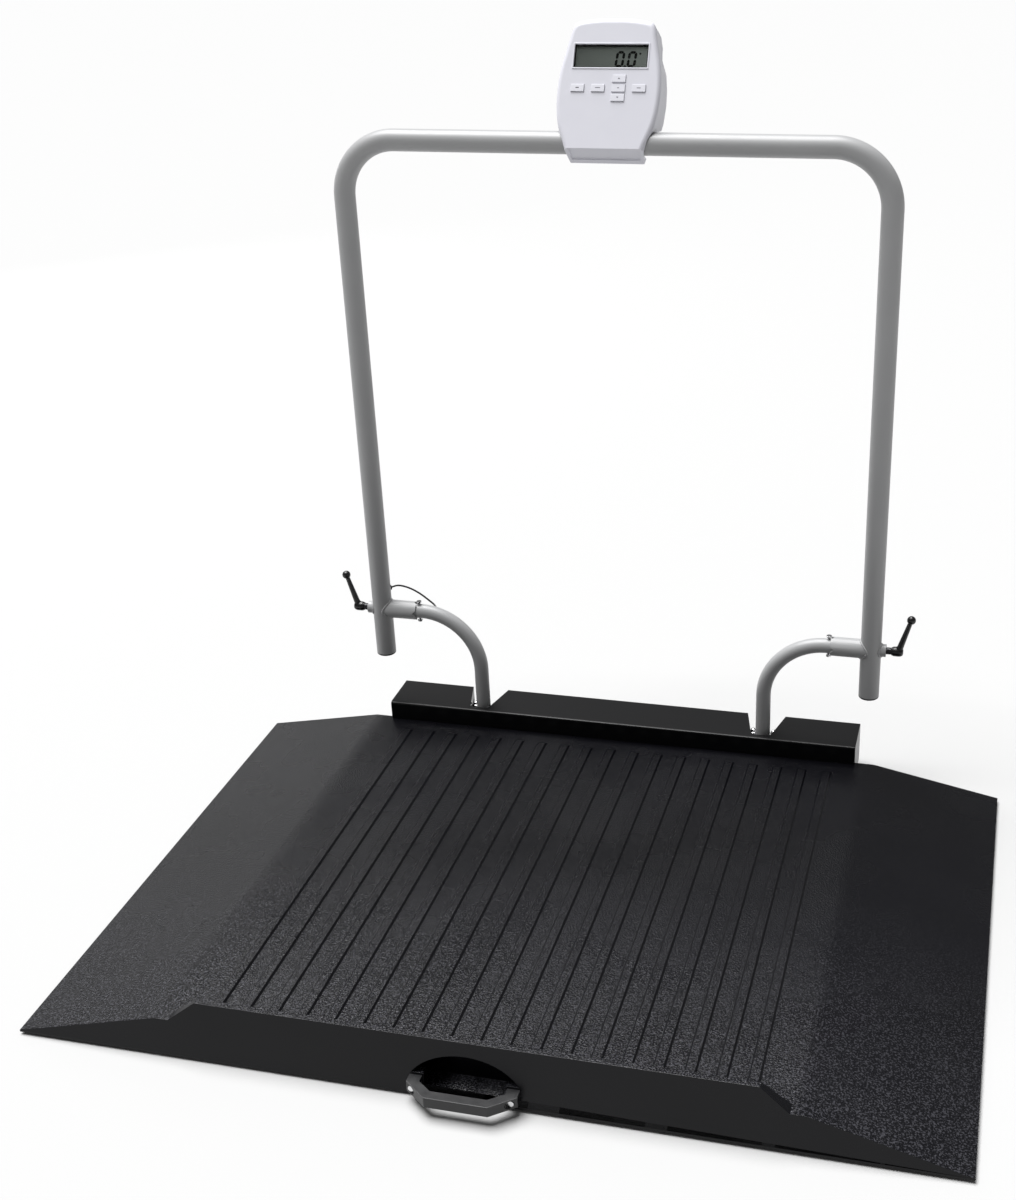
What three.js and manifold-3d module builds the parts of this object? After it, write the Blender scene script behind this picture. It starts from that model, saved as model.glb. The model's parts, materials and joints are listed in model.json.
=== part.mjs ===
// Portable animal scale: a low ribbed platform with a ramp on each side, a fold-down handrail and
// a tilting display head. Millimetres, +X right, +Y to the rear, +Z up; the floor is z = 0.
import * as THREE from "three";
import { mergeVertices } from "three/addons/utils/BufferGeometryUtils.js";
import Module from "manifold-3d";

const wasm = await Module();
wasm.setup();

// ---- Clearances
const seatGap = 0.3; // between pieces that touch or are cut round each other
const runningGap = 0.06; // radial play of a turning bore on its pin
const holeGap = 0.5; // a clearance hole round a screw or stud
const past = 2; // how far a cutter runs past the face it cuts

// ---- Platform
const platformWidth = 1150; // ramp tip to ramp tip
const platformDepth = 776;
const deckWidth = 784; // level part between the ramp breaks
const deckTop = 48;
const tipTop = 6;
const tipBottom = 3;
const wallDraft = 0.24; // set-back of the front and rear walls per mm of height
const shellWall = 4;
const kerbTop = 74; // raised front edge that keeps paws and wheels on the deck
const kerbFootWidth = 747;
const kerbCrownWidth = 678;
const kerbThickness = 9;
const ribCount = 19;
const ribPitch = 36.3;
const ribWidth = 15;
const ribHeight = 2.4;
const ribFrontGap = 2;
const ribRearMargin = 28;
const ribNose = 4; // length of the slope at the front end of a rib
const ribTail = 6;
const webThickness = 4;
const webBottom = 14;
const webSpacing = 264; // the two long webs
const webInset = 2; // of a web's ends inside the walls
const weld = 1; // how far joined solids run into each other
const crossWebPitch = 194; // the three short webs

// ---- Front pull handle and its finger scoop
const scoopWidth = 146;
const scoopTop = 57;
const scoopFloor = 7;
const scoopDepth = 38;
const scoopSkin = 3.5;
const padMargin = 9; // solid round each handle screw
const padDepth = 16;
const handleSpan = 134;
const handleGripWidth = 76;
const handleReach = 31;
const handleThickness = 13;
const handleBottom = 14;
const handleHeight = 14;
const handleFoot = 16;
const handleShoulder = 8; // reach of the outer corner of each foot
const handleInnerShoulder = 5;
const handleInnerGripWidth = 68;
const handleScrewSpacing = 118;
const handleScrewRadius = 2.5;
const handleScrewHead = 4.5;
const handleScrewHeadHeight = 3;
const handleScrewTip = 10;

// ---- Load cells and feet
const cellLength = 104;
const cellWidth = 28;
const cellHeight = 20;
const cellBottom = 18;
const cellInset = 62; // cell centre line from the front and rear edges
const cellOuterEnd = 20; // from the ramp break inwards
const cellBossLength = 36;
const cellHoleRadius = 6;
const cellHoleOffset = 8;
const cellSlot = 2; // half height of the slot between the holes
const footInset = 16; // from the outer end of the cell
const footRadius = 20;
const footPad = 9;
const footStem = 5;
const footCollar = 4; // of the foot round its stem
const footShoulder = 4; // height of the slope on the pad
const edgeBreak = 1; // small chamfers

// ---- Rear beam, axles and wheels
const beamGap = 3.4; // beam behind the platform's rear edge
const beamClearance = 3; // from the post to the outside of the beam, front and rear
const beamHeight = 30;
const beamBottom = 26;
const beamWall = 2;
const beamPadInner = 100; // spacers between the beam and the rear wall of the platform
const beamPadWidth = 33;
const wheelRadius = 28;
const wheelWidth = 22;
const wheelLift = 6; // the wheels only reach the floor when the front is lifted
const wheelOverhang = 18; // how far the wheels stand out behind the housing
const axleRadius = 4;
const hubRadius = 19;
const bracketThickness = 4;
const bracketGap = 15; // from the bracket to the wheel
const wheelSideGap = 5; // from the wheel to the housing's end wall
const axleHead = 2.5;
const axleRim = 2;
const axleSlack = 0.4; // end play of the wheel
const hubBoss = 5; // wall of the hub round its bore
const hubFlute = 6; // half width of the hub's rim
const hubWeb = 4;
const tyreCrown = 3;
const tyreShoulder = 5;

// ---- Rear housing
const housingWidth = 730;
const housingLap = 16; // how far it reaches forward over the deck
const housingDepth = 76;
const housingTop = 77;
const housingSkirt = 14;
const housingWall = 3;
const notchNarrowGap = 4.5; // beside the post at the front of the notch
const notchWideGap = 20; // and at the rear
const notchFront = 10.5; // from the housing's front face
const notchCorner = [1.4, 1.8]; // the first facet of each rounded corner, across and back
const notchRound = [5, 5.5]; // the whole corner
const housingEdge = 4; // rounding along the housing's front top edge
const housingBreak = 3; // and along its rear edge

// ---- Posts and fold joint
const postSpacing = 444;
const postRadius = 11;
const postWall = 1.8;
const postBend = 92;
const pivotHeight = 225;
const boltRadius = 2.5;
const boltHead = 4;
const boltHeadHeight = 2.3;
const plugLength = 16; // threaded plug in the post's end
const collarGap = 0.4; // between the post end and the collar that turns on it
const collarWall = 2.9;
const notchDepth = 5;
const flangeThickness = 4;
const flangeMargin = 7.5; // beside the nuts
const flangeFrontMargin = 1.5; // in front of the post
const flangeRearMargin = 5.7; // behind the nuts
const nutClearance = 4.5; // from the side of the post to the nut's centre line
const nutOffset = 7.9; // behind the post axis
const nutStud = 2.5;
const nutRadius = 5.5;
const nutHeight = 9;
const nutHex = 4.4; // height of the part below the dome

// ---- Handrail
const railSpan = 756; // centre to centre of the legs
const railTop = 940;
const railRadius = 15;
const railWall = 2;
const railBend = 78;
const legBottom = 150;
const capFlange = 2.7;
const capPlug = 12; // how far the cap reaches up inside the leg
const grommetHole = 3.2;
const grommetNeck = 2.9;
const grommetRim = 4.2;
const grommetLip = 3.4;

// ---- Clamps
const studRadius = 4;
const bossRadius = 9.5;
const bossLength = 7;
const insertRadius = 5.2;
const insertLength = 7;
const hubLength = 17;
const leverHub = 7.2;
const leverReach = 52;
const leverLean = 15;
const leverRoot = 4.3; // radius of the arm at the hub
const leverTip = 2.8; // and at the ball
const leverInset = 6; // of the arm's root from the hub's outer end
const leverRise = 3; // of the arm's root above the hub's axis
const leverTravel = 4;
const splineDepth = 0.9; // of the toothed end inside the hub
const splineLength = 5;
const ballRadius = 6.4;

// ---- Signal cable
const cableDiameter = 2.8;
const cableExitHeight = 256;
const cableEntryRun = 296; // distance of the post's cable hole from the middle

// ---- Display head, laid out in its own frame: tube axis at the origin, front towards -Y
const headTilt = 28;
const faceWall = 3.5; // in front of the tube slot
const headBack = 30;
const headSplit = 4;
const headWall = 2.6;
const headEdge = 3.5;
const slotGap = 1; // round the handrail tube
const chinWall = 3; // between the tube slot and the chin, at the face
const windowWidth = 99.6;
const windowHeight = 31;
const windowCentre = 110;
const bezelWidth = 2.2;
const keyWidth = 18;
const keyHeight = 9.6;
const keyProud = 1.4;
const keyTravel = 1;
const keyRow = 67;
const keyPitch = 27.7;
const keyColumn = 12.6;
const boardThickness = 1.6;
const boardFront = -12.2;
const boardHalfWidth = 52;
const boardHalfHeight = 46;
const boardCentre = 82;
const beyond = 90; // half width of the cutters that pass right through the head
const frontWrap = 13; // how far back the front shell's chin wraps round the tube
const sidePostX = 59; // the front shell's four fixing posts
const sidePostRadius = 3.5;
const doorWidth = 60;
const doorHeight = 62;
const doorThickness = 2.2;
const doorCentre = 99;
const pocketWidth = 51;
const pocketHeight = 52;
const pocketDepth = 14;
const clampWidth = 62;
const clampScrewSpacing = 40;
const clampScrewHeight = 38;
const clampScrewRadius = 1.5;
const clampTab = 3.7;
const doorGrip = 12; // half width of the ridge on the battery door

// ---- Sizes that follow from the ones above
const halfWidth = platformWidth / 2;
const halfDeck = deckWidth / 2;
const wallY = (z) => wallDraft * (z - tipTop);
const rearWallY = (z) => platformDepth - wallY(z);
const kerbBack = wallY(kerbTop) + kerbThickness;
const beamFront = platformDepth + beamGap;
const beamDepth = 2 * (postRadius + beamClearance);
const railY = beamFront + beamDepth / 2;
const beamTop = beamBottom + beamHeight;
const housingFront = platformDepth - housingLap;
const housingRear = housingFront + housingDepth;
const axleY = housingRear + wheelOverhang - wheelRadius;
const axleZ = wheelLift + wheelRadius;
const wheelOuter = housingWidth / 2 - housingWall - wheelSideGap;
const wheelInner = wheelOuter - wheelWidth;
const bracketInner = wheelInner - bracketGap;
const postX = postSpacing / 2;
const notchNarrow = 2 * (postRadius + notchNarrowGap);
const notchWide = 2 * (postRadius + notchWideGap);
const nutSpacing = 2 * (postRadius + nutClearance);
const flangeWidth = nutSpacing + 2 * flangeMargin;
const flangeFront = postRadius + flangeFrontMargin;
const flangeRear = nutOffset + flangeRearMargin;
const collarRadius = postRadius + collarGap + collarWall;
const bendEnd = postX + postBend;
const boltX = bendEnd + 3;
const collarInner = boltX + boltRadius + 0.5;
const legX = railSpan / 2;
const postEnd = legX - railRadius - 11;
const bossOuter = legX + railRadius + bossLength;
const insertEnd = bossOuter + seatGap + insertLength;
const hubStart = insertEnd + seatGap;
const hubEnd = hubStart + hubLength;
const scoopHeight = scoopTop - scoopFloor;
const slotRadius = railRadius + slotGap;
const headFace = slotRadius + faceWall;

const finishes = {
  deck: { color: 0x1b1c20, roughness: 0.45, metalness: 0 },
  housing: { color: 0x121216, roughness: 0.2, metalness: 0 },
  handle: { color: 0x26272b, roughness: 0.5, metalness: 0 },
  lever: { color: 0x0c0c0e, roughness: 0.4, metalness: 0 },
  rail: { color: 0xb9bbc0, roughness: 0.4, metalness: 0 },
  steel: { color: 0xa9abae, roughness: 0.35, metalness: 1 },
  zinc: { color: 0xd2d4d6, roughness: 0.2, metalness: 1 },
  rubber: { color: 0x151515, roughness: 0.9, metalness: 0 },
  shell: { color: 0xe4e5ea, roughness: 0.45, metalness: 0 },
  key: { color: 0xd5d7de, roughness: 0.5, metalness: 0 },
  lens: { color: 0x8b9488, roughness: 0.1, metalness: 0 },
  glass: { color: 0x7f8a7c, roughness: 0.3, metalness: 0 },
  board: { color: 0x1f5a34, roughness: 0.6, metalness: 0 },
};

const scale = new THREE.Group();
scale.name = "animal_scale";
const assembly = new THREE.Group();
assembly.name = "assembly";
scale.add(assembly);
const headFrame = new THREE.Group();
headFrame.name = "head_frame";
headFrame.position.set(0, railY, railTop);
headFrame.rotation.x = THREE.MathUtils.degToRad(-headTilt);
assembly.add(headFrame);

// ---- Geometry helpers
function solid(geometry) {
  const bare = geometry.index ? geometry.toNonIndexed() : geometry.clone();
  bare.deleteAttribute("normal");
  bare.deleteAttribute("uv");
  const merged = mergeVertices(bare, 1e-4);
  const vertProperties = new Float32Array(merged.attributes.position.array);
  const triVerts = new Uint32Array(merged.index.array);
  return new wasm.Manifold(new wasm.Mesh({ numProp: 3, vertProperties, triVerts }));
}

function place(name, shape, finish, parent = assembly) {
  const mesh = shape.getMesh();
  const positions = new Float32Array(mesh.numVert * 3);
  for (let i = 0; i < mesh.numVert; i++) {
    positions.set(mesh.vertProperties.subarray(i * mesh.numProp, i * mesh.numProp + 3), i * 3);
  }
  const geometry = new THREE.BufferGeometry();
  geometry.setAttribute("position", new THREE.BufferAttribute(positions, 3));
  geometry.setIndex(new THREE.BufferAttribute(new Uint32Array(mesh.triVerts), 1));
  const body = new THREE.Mesh(geometry, new THREE.MeshStandardMaterial(finishes[finish]));
  body.name = name;
  parent.add(body);
}

function outline(points) {
  return new THREE.Shape(points.map(([u, v]) => new THREE.Vector2(u, v)));
}

// A profile in the X-Y plane, from z = low to z = high.
function prismZ(points, low, high) {
  const geometry = new THREE.ExtrudeGeometry(outline(points), {
    depth: high - low,
    bevelEnabled: false,
  });
  return solid(geometry.translate(0, 0, low));
}

// A profile in the X-Z plane, from y = low to y = high.
function prismY(points, low, high) {
  const geometry = new THREE.ExtrudeGeometry(outline(points), {
    depth: high - low,
    bevelEnabled: false,
  });
  return solid(geometry.rotateX(Math.PI / 2).translate(0, high, 0));
}

// A profile in the Y-Z plane, from x = low to x = high.
function prismX(points, low, high) {
  const geometry = new THREE.ExtrudeGeometry(outline(points), {
    depth: high - low,
    bevelEnabled: false,
  });
  const turn = new THREE.Matrix4().makeBasis(
    new THREE.Vector3(0, 1, 0),
    new THREE.Vector3(0, 0, 1),
    new THREE.Vector3(1, 0, 0),
  );
  return solid(geometry.applyMatrix4(turn).translate(low, 0, 0));
}

function block(x0, x1, y0, y1, z0, z1) {
  const geometry = new THREE.BoxGeometry(Math.abs(x1 - x0), y1 - y0, z1 - z0);
  return solid(geometry.translate((x0 + x1) / 2, (y0 + y1) / 2, (z0 + z1) / 2));
}

const turnTo = {
  x: (g) => g.rotateZ(-Math.PI / 2),
  y: (g) => g,
  z: (g) => g.rotateX(Math.PI / 2),
};

// A rod along an axis through the point at, from low to high measured along that axis.
function rod(axis, at, radius, low, high, sides = 20) {
  const geometry = new THREE.CylinderGeometry(radius, radius, high - low, sides);
  turnTo[axis](geometry);
  const middle = (low + high) / 2;
  const [x, y, z] = at;
  if (axis === "x") geometry.translate(middle, y, z);
  if (axis === "y") geometry.translate(x, middle, z);
  if (axis === "z") geometry.translate(x, y, middle);
  return solid(geometry);
}

// A turned piece. Its profile is [radius, height] pairs from the axis back to the axis.
function turned(profile, sides = 20) {
  const points = profile.map(([r, h]) => new THREE.Vector2(r, h));
  return new THREE.LatheGeometry(points, sides);
}

// Moves a turned piece, made along +Y, on to the X axis of one side and through the point at.
function turnedX(profile, side, at, sides = 20) {
  const geometry = turned(profile, sides).rotateZ((-side * Math.PI) / 2);
  return solid(geometry.translate(at[0], at[1], at[2]));
}

function turnedZ(profile, at, sides = 20) {
  const geometry = turned(profile, sides).rotateX(Math.PI / 2);
  return solid(geometry.translate(at[0], at[1], at[2]));
}

// Two values in rising order, for a span that may lie on either side of the middle.
function span(side, near, far) {
  return side > 0 ? [near, far] : [-far, -near];
}

function mirrored(half) {
  const other = half.map(([u, v]) => [-u, v]).reverse();
  return half.concat(other);
}

// A route through given stations, so that straight runs take one step and bends take several.
class StationPath extends THREE.Curve {
  constructor(stations) {
    super();
    this.stations = stations;
  }

  getPoint(t, target = new THREE.Vector3()) {
    const last = this.stations.length - 1;
    const place = Math.min(Math.max(t, 0), 1) * last;
    const index = Math.min(Math.floor(place), last - 1);
    return target.lerpVectors(this.stations[index], this.stations[index + 1], place - index);
  }

  getPointAt(u, target) {
    return this.getPoint(u, target);
  }

  getTangentAt(u, target = new THREE.Vector3()) {
    const last = this.stations.length - 1;
    const index = Math.round(u * last);
    const before = this.stations[Math.max(index - 1, 0)];
    const after = this.stations[Math.min(index + 1, last)];
    const here = this.stations[index];
    const arrive = new THREE.Vector3().subVectors(here, before).normalize();
    const leave = new THREE.Vector3().subVectors(after, here).normalize();
    return target.addVectors(arrive, leave).normalize();
  }
}

function ring(outer, inner, sides) {
  const circle = (radius) =>
    Array.from({ length: sides }, (_, i) => {
      const angle = (2 * Math.PI * i) / sides;
      return new THREE.Vector2(radius * Math.cos(angle), radius * Math.sin(angle));
    });
  const shape = new THREE.Shape(circle(outer));
  if (inner > 0) {
    shape.holes.push(new THREE.Path(circle(inner)));
  }
  return shape;
}

function sweep(shape, stations) {
  const geometry = new THREE.ExtrudeGeometry(shape, {
    steps: stations.length - 1,
    extrudePath: new StationPath(stations),
    bevelEnabled: false,
  });
  return solid(geometry);
}

// Points of an arc in the plane y = level, from one angle to another in degrees.
function bendPoints(cx, cz, radius, from, to, steps, level) {
  return Array.from({ length: steps + 1 }, (_, i) => {
    const angle = THREE.MathUtils.degToRad(from + ((to - from) * i) / steps);
    return new THREE.Vector3(cx + radius * Math.cos(angle), level, cz + radius * Math.sin(angle));
  });
}

// ---- Platform
function frontProfile() {
  return mirrored([
    [halfWidth, tipBottom],
    [halfWidth, tipTop],
    [halfDeck, deckTop],
    [kerbFootWidth / 2, deckTop],
    [kerbCrownWidth / 2, kerbTop],
  ]);
}

function sideProfile() {
  return [
    [0, tipBottom],
    [0, tipTop],
    [wallY(kerbTop), kerbTop],
    [kerbBack, kerbTop],
    [kerbBack + 0.5, deckTop],
    [rearWallY(deckTop), deckTop],
    [platformDepth, tipTop],
    [platformDepth, tipBottom],
  ];
}

function platformCavity() {
  const slope = (deckTop - tipTop) / (halfWidth - halfDeck);
  const low = tipBottom - past;
  const reach = (deckTop - shellWall - low) / slope;
  const front = mirrored([
    [halfDeck - 2 + reach, low],
    [halfDeck - 2, deckTop - shellWall],
  ]);
  const side = [
    [wallY(low) + shellWall, low],
    [wallY(deckTop - shellWall) + shellWall, deckTop - shellWall],
    [rearWallY(deckTop - shellWall) - shellWall, deckTop - shellWall],
    [rearWallY(low) - shellWall, low],
  ];
  return prismY(front, -past, platformDepth + past).intersect(prismX(side, -halfWidth, halfWidth));
}

function deckRibs() {
  const start = kerbBack + ribFrontGap;
  const end = platformDepth - housingLap - ribRearMargin;
  const crown = ribWidth / 2 - ribHeight;
  let ribs = null;
  for (let i = 0; i < ribCount; i++) {
    const x = (i - (ribCount - 1) / 2) * ribPitch;
    const section = [
      [x - ribWidth / 2, deckTop - weld],
      [x + ribWidth / 2, deckTop - weld],
      [x + ribWidth / 2, deckTop],
      [x + crown, deckTop + ribHeight],
      [x - crown, deckTop + ribHeight],
      [x - ribWidth / 2, deckTop],
    ];
    const rib = prismY(section, start, end);
    ribs = ribs ? ribs.add(rib) : rib;
  }
  const ends = [
    [start, deckTop - past],
    [start, deckTop],
    [start + ribNose, deckTop + ribHeight + seatGap],
    [end - ribTail, deckTop + ribHeight + seatGap],
    [end, deckTop],
    [end, deckTop - past],
  ];
  return ribs.intersect(prismX(ends, -halfDeck, halfDeck));
}

const archSteps = 24;

function archPoints(halfSpan, rise, floor) {
  const points = [];
  for (let i = 0; i <= archSteps; i++) {
    const angle = (Math.PI * i) / archSteps;
    points.push([halfSpan * Math.cos(angle), floor + rise * Math.sin(angle)]);
  }
  return points;
}

function fingerScoop() {
  const arch = prismY(archPoints(scoopWidth / 2, scoopHeight, scoopFloor), -past, scoopDepth);
  const padTop = handleBottom + handleHeight + past;
  const inner = handleScrewSpacing / 2 - padMargin;
  const padRight = block(inner, scoopWidth, -past * 2, padDepth, -past, padTop);
  const padLeft = block(-scoopWidth, -inner, -past * 2, padDepth, -past, padTop);
  return arch.subtract(padRight).subtract(padLeft);
}

function scoopLiner() {
  const points = archPoints(scoopWidth / 2 + scoopSkin, scoopHeight + scoopSkin, scoopFloor);
  const foot = [
    [-scoopWidth / 2 - scoopSkin, tipBottom],
    [scoopWidth / 2 + scoopSkin, tipBottom],
  ];
  return prismY(points.concat(foot), -past, scoopDepth + scoopSkin);
}

function cellSpan(side) {
  return span(side, halfDeck - cellOuterEnd - cellLength, halfDeck - cellOuterEnd);
}

function cellBosses() {
  const top = deckTop - shellWall + weld;
  const bottom = cellBottom + cellHeight + seatGap;
  let bosses = null;
  for (const side of [-1, 1]) {
    for (const y of [cellInset, platformDepth - cellInset]) {
      const near = halfDeck - cellOuterEnd - cellLength;
      const [x0, x1] = span(side, near, near + cellBossLength);
      const boss = block(x0, x1, y - cellWidth / 2, y + cellWidth / 2, bottom, top);
      bosses = bosses ? bosses.add(boss) : boss;
    }
  }
  return bosses;
}

function stiffeningWebs() {
  const top = deckTop - shellWall + weld;
  let webs = null;
  for (const x of [-webSpacing / 2, webSpacing / 2]) {
    const web = block(
      x - webThickness / 2,
      x + webThickness / 2,
      webInset,
      platformDepth - webInset,
      webBottom,
      top,
    );
    webs = webs ? webs.add(web) : web;
  }
  for (const step of [-1, 0, 1]) {
    const y = platformDepth / 2 + step * crossWebPitch;
    const web = block(
      -halfDeck + webInset,
      halfDeck - webInset,
      y - webThickness / 2,
      y + webThickness / 2,
      webBottom,
      top,
    );
    webs = webs.add(web);
  }
  return webs;
}

function buildPlatform() {
  const envelope = prismY(frontProfile(), -past, platformDepth + past).intersect(
    prismX(sideProfile(), -halfWidth - past, halfWidth + past),
  );
  let deck = envelope.subtract(platformCavity());
  deck = deck.add(stiffeningWebs().intersect(envelope));
  deck = deck.add(cellBosses());
  deck = deck.add(scoopLiner().intersect(envelope));
  deck = deck.subtract(fingerScoop());
  deck = deck.add(deckRibs());
  const screwZ = handleBottom + handleHeight / 2;
  for (const side of [-1, 1]) {
    const at = [(side * handleScrewSpacing) / 2, 0, screwZ];
    deck = deck.subtract(rod("y", at, handleScrewRadius + seatGap, -past, handleScrewTip + past, 16));
  }
  place("platform_deck", deck, "deck");
}

function buildFrontHandle() {
  const half = handleSpan / 2;
  const grip = handleGripWidth / 2;
  const inner = handleReach - handleThickness;
  const top = handleBottom + handleHeight;
  const plan = mirrored([
    [half, past * 4],
    [half, -handleShoulder],
    [grip, -handleReach],
  ]).concat(
    mirrored([
      [half - handleFoot, past * 4],
      [half - handleFoot, -handleInnerShoulder],
      [handleInnerGripWidth / 2, -inner],
    ]).reverse(),
  );
  let handle = prismZ(plan, handleBottom, top);
  const behind = handleReach * 2;
  const wallFace = [
    [wallY(handleBottom - past) - seatGap, handleBottom - past],
    [wallY(top + past) - seatGap, top + past],
    [behind, top + past],
    [behind, handleBottom - past],
  ];
  handle = handle.subtract(prismX(wallFace, -half - past, half + past));
  const screwZ = handleBottom + handleHeight / 2;
  const seat = -handleShoulder - weld;
  for (const side of [-1, 1]) {
    const x = (side * handleScrewSpacing) / 2;
    const hole = rod("y", [x, 0, screwZ], handleScrewRadius + seatGap, -handleReach, 20, 16);
    const counterbore = rod("y", [x, 0, screwZ], handleScrewHead + seatGap, -handleReach * 2, seat);
    handle = handle.subtract(hole).subtract(counterbore);
    const name = side < 0 ? "front_handle_screw_left" : "front_handle_screw_right";
    const shank = rod("y", [x, 0, screwZ], handleScrewRadius, seat - seatGap - weld, handleScrewTip, 16);
    const head = rod(
      "y",
      [x, 0, screwZ],
      handleScrewHead,
      seat - seatGap - handleScrewHeadHeight,
      seat - seatGap,
    );
    place(name, shank.add(head), "zinc");
  }
  place("front_handle", handle, "handle");
}

function buildCell(name, side, y) {
  const [x0, x1] = cellSpan(side);
  const top = cellBottom + cellHeight;
  const middle = (x0 + x1) / 2;
  let cell = block(x0, x1, y - cellWidth / 2, y + cellWidth / 2, cellBottom, top);
  const z = cellBottom + cellHeight / 2;
  for (const offset of [-cellHoleOffset, cellHoleOffset]) {
    cell = cell.subtract(rod("y", [middle + offset, y, z], cellHoleRadius, y - cellWidth, y + cellWidth, 16));
  }
  cell = cell.subtract(
    block(
      middle - cellHoleOffset,
      middle + cellHoleOffset,
      y - cellWidth,
      y + cellWidth,
      z - cellSlot,
      z + cellSlot,
    ),
  );
  const footX = side * (halfDeck - cellOuterEnd - footInset);
  const hole = rod("z", [footX, y, 0], footStem + seatGap, cellBottom - past, top + past, 16);
  place("load_cell_" + name, cell.subtract(hole), "steel");
  const foot = [
    [0, 0],
    [footRadius - edgeBreak, 0],
    [footRadius, edgeBreak],
    [footRadius, footPad - footShoulder],
    [footStem + footCollar, footPad],
    [footStem + footCollar, cellBottom - seatGap],
    [footStem, cellBottom - seatGap],
    [footStem, top - edgeBreak],
    [0, top - edgeBreak],
  ];
  place("foot_" + name, turnedZ(foot, [footX, y, 0], 16), "rubber");
}

// ---- Rear beam, wheels and housing
function buildRearBeam() {
  const half = bracketInner + bracketThickness;
  const rear = beamFront + beamDepth;
  let beam = block(-half, half, beamFront, rear, beamBottom, beamTop);
  const inside = block(
    -half - past,
    half + past,
    beamFront + beamWall,
    rear - beamWall,
    beamBottom + beamWall,
    beamTop - beamWall,
  );
  beam = beam.subtract(inside);
  const plate = [
    [beamFront, beamBottom],
    [axleY - 4, axleZ - 10],
    [axleY + 6, axleZ - 7],
    [axleY + 9, axleZ],
    [axleY + 5, axleZ + 8],
    [rear, beamTop],
    [beamFront, beamTop],
  ];
  for (const side of [-1, 1]) {
    const [x0, x1] = span(side, bracketInner, bracketInner + bracketThickness);
    beam = beam.add(prismX(plate, x0, x1));
    const hole = rod("x", [0, axleY, axleZ], axleRadius + seatGap, x0 - past, x1 + past, 20);
    beam = beam.subtract(hole);
    const [p0, p1] = span(side, beamPadInner, beamPadInner + beamPadWidth);
    const pad = [
      [beamFront + 1, beamBottom + 2],
      [rearWallY(beamBottom + 2) + seatGap, beamBottom + 2],
      [rearWallY(deckTop - 2) + seatGap, deckTop - 2],
      [beamFront + 1, deckTop - 2],
    ];
    beam = beam.add(prismX(pad, p0, p1));
    const top = [side * postX, railY, 0];
    beam = beam.subtract(rod("z", top, postRadius + seatGap, beamTop - beamWall - 1, beamTop + past));
    for (const offset of [-nutSpacing / 2, nutSpacing / 2]) {
      const at = [side * postX + offset, railY + nutOffset, 0];
      beam = beam.subtract(rod("z", at, nutStud + seatGap, beamTop - beamWall - 1, beamTop + past, 16));
    }
  }
  place("rear_beam", beam, "steel");
}

function buildWheel(side) {
  const name = side < 0 ? "left" : "right";
  const at = [0, axleY, axleZ];
  const axle = [
    [0, bracketInner - axleHead],
    [axleRadius + axleHead, bracketInner - axleHead],
    [axleRadius + axleHead, bracketInner - seatGap],
    [axleRadius, bracketInner - seatGap],
    [axleRadius, wheelOuter + axleSlack],
    [axleRadius + axleRim, wheelOuter + axleSlack],
    [axleRadius + axleRim, wheelOuter + axleSlack + axleRim],
    [0, wheelOuter + axleSlack + axleRim],
  ];
  place("wheel_axle_" + name, turnedX(axle, side, at, 24), "zinc");
  const bore = axleRadius + runningGap;
  const mid = (wheelInner + wheelOuter) / 2;
  const hub = [
    [bore, wheelInner],
    [bore + hubBoss, wheelInner],
    [bore + hubBoss + edgeBreak, mid - hubWeb],
    [hubRadius, mid - hubFlute],
    [hubRadius, mid + hubFlute],
    [bore + hubBoss + edgeBreak, mid + hubWeb],
    [bore + hubBoss, wheelOuter],
    [bore, wheelOuter],
    [bore, wheelInner],
  ];
  place("wheel_hub_" + name, turnedX(hub, side, at, 24), "handle");
  const tyreIn = hubRadius + seatGap;
  const tyre = [
    [tyreIn, wheelInner + tyreCrown],
    [wheelRadius - tyreCrown, wheelInner + edgeBreak],
    [wheelRadius, wheelInner + tyreShoulder],
    [wheelRadius, wheelOuter - tyreShoulder],
    [wheelRadius - tyreCrown, wheelOuter - edgeBreak],
    [tyreIn, wheelOuter - tyreCrown],
    [tyreIn, wheelInner + tyreCrown],
  ];
  place("wheel_tyre_" + name, turnedX(tyre, side, at, 24), "rubber");
}

// The notch round a post, wider by grow on every side, from its blunt front end to behind the housing.
function notchPlan(centre, grow) {
  const front = housingFront + notchFront - grow;
  const narrow = notchNarrow / 2 + grow;
  const rate = (notchWide - notchNarrow) / 2 / (housingDepth - notchFront);
  const rear = housingRear + 8;
  const [facetAcross, facetBack] = notchCorner;
  const [roundAcross, roundBack] = notchRound;
  const flare = rate * (rear - front - roundBack);
  return [
    [centre + narrow - roundAcross, front],
    [centre + narrow - facetAcross, front + facetBack],
    [centre + narrow, front + roundBack],
    [centre + narrow + flare, rear],
    [centre - narrow - flare, rear],
    [centre - narrow, front + roundBack],
    [centre - narrow + facetAcross, front + facetBack],
    [centre - narrow + roundAcross, front],
  ];
}

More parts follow.
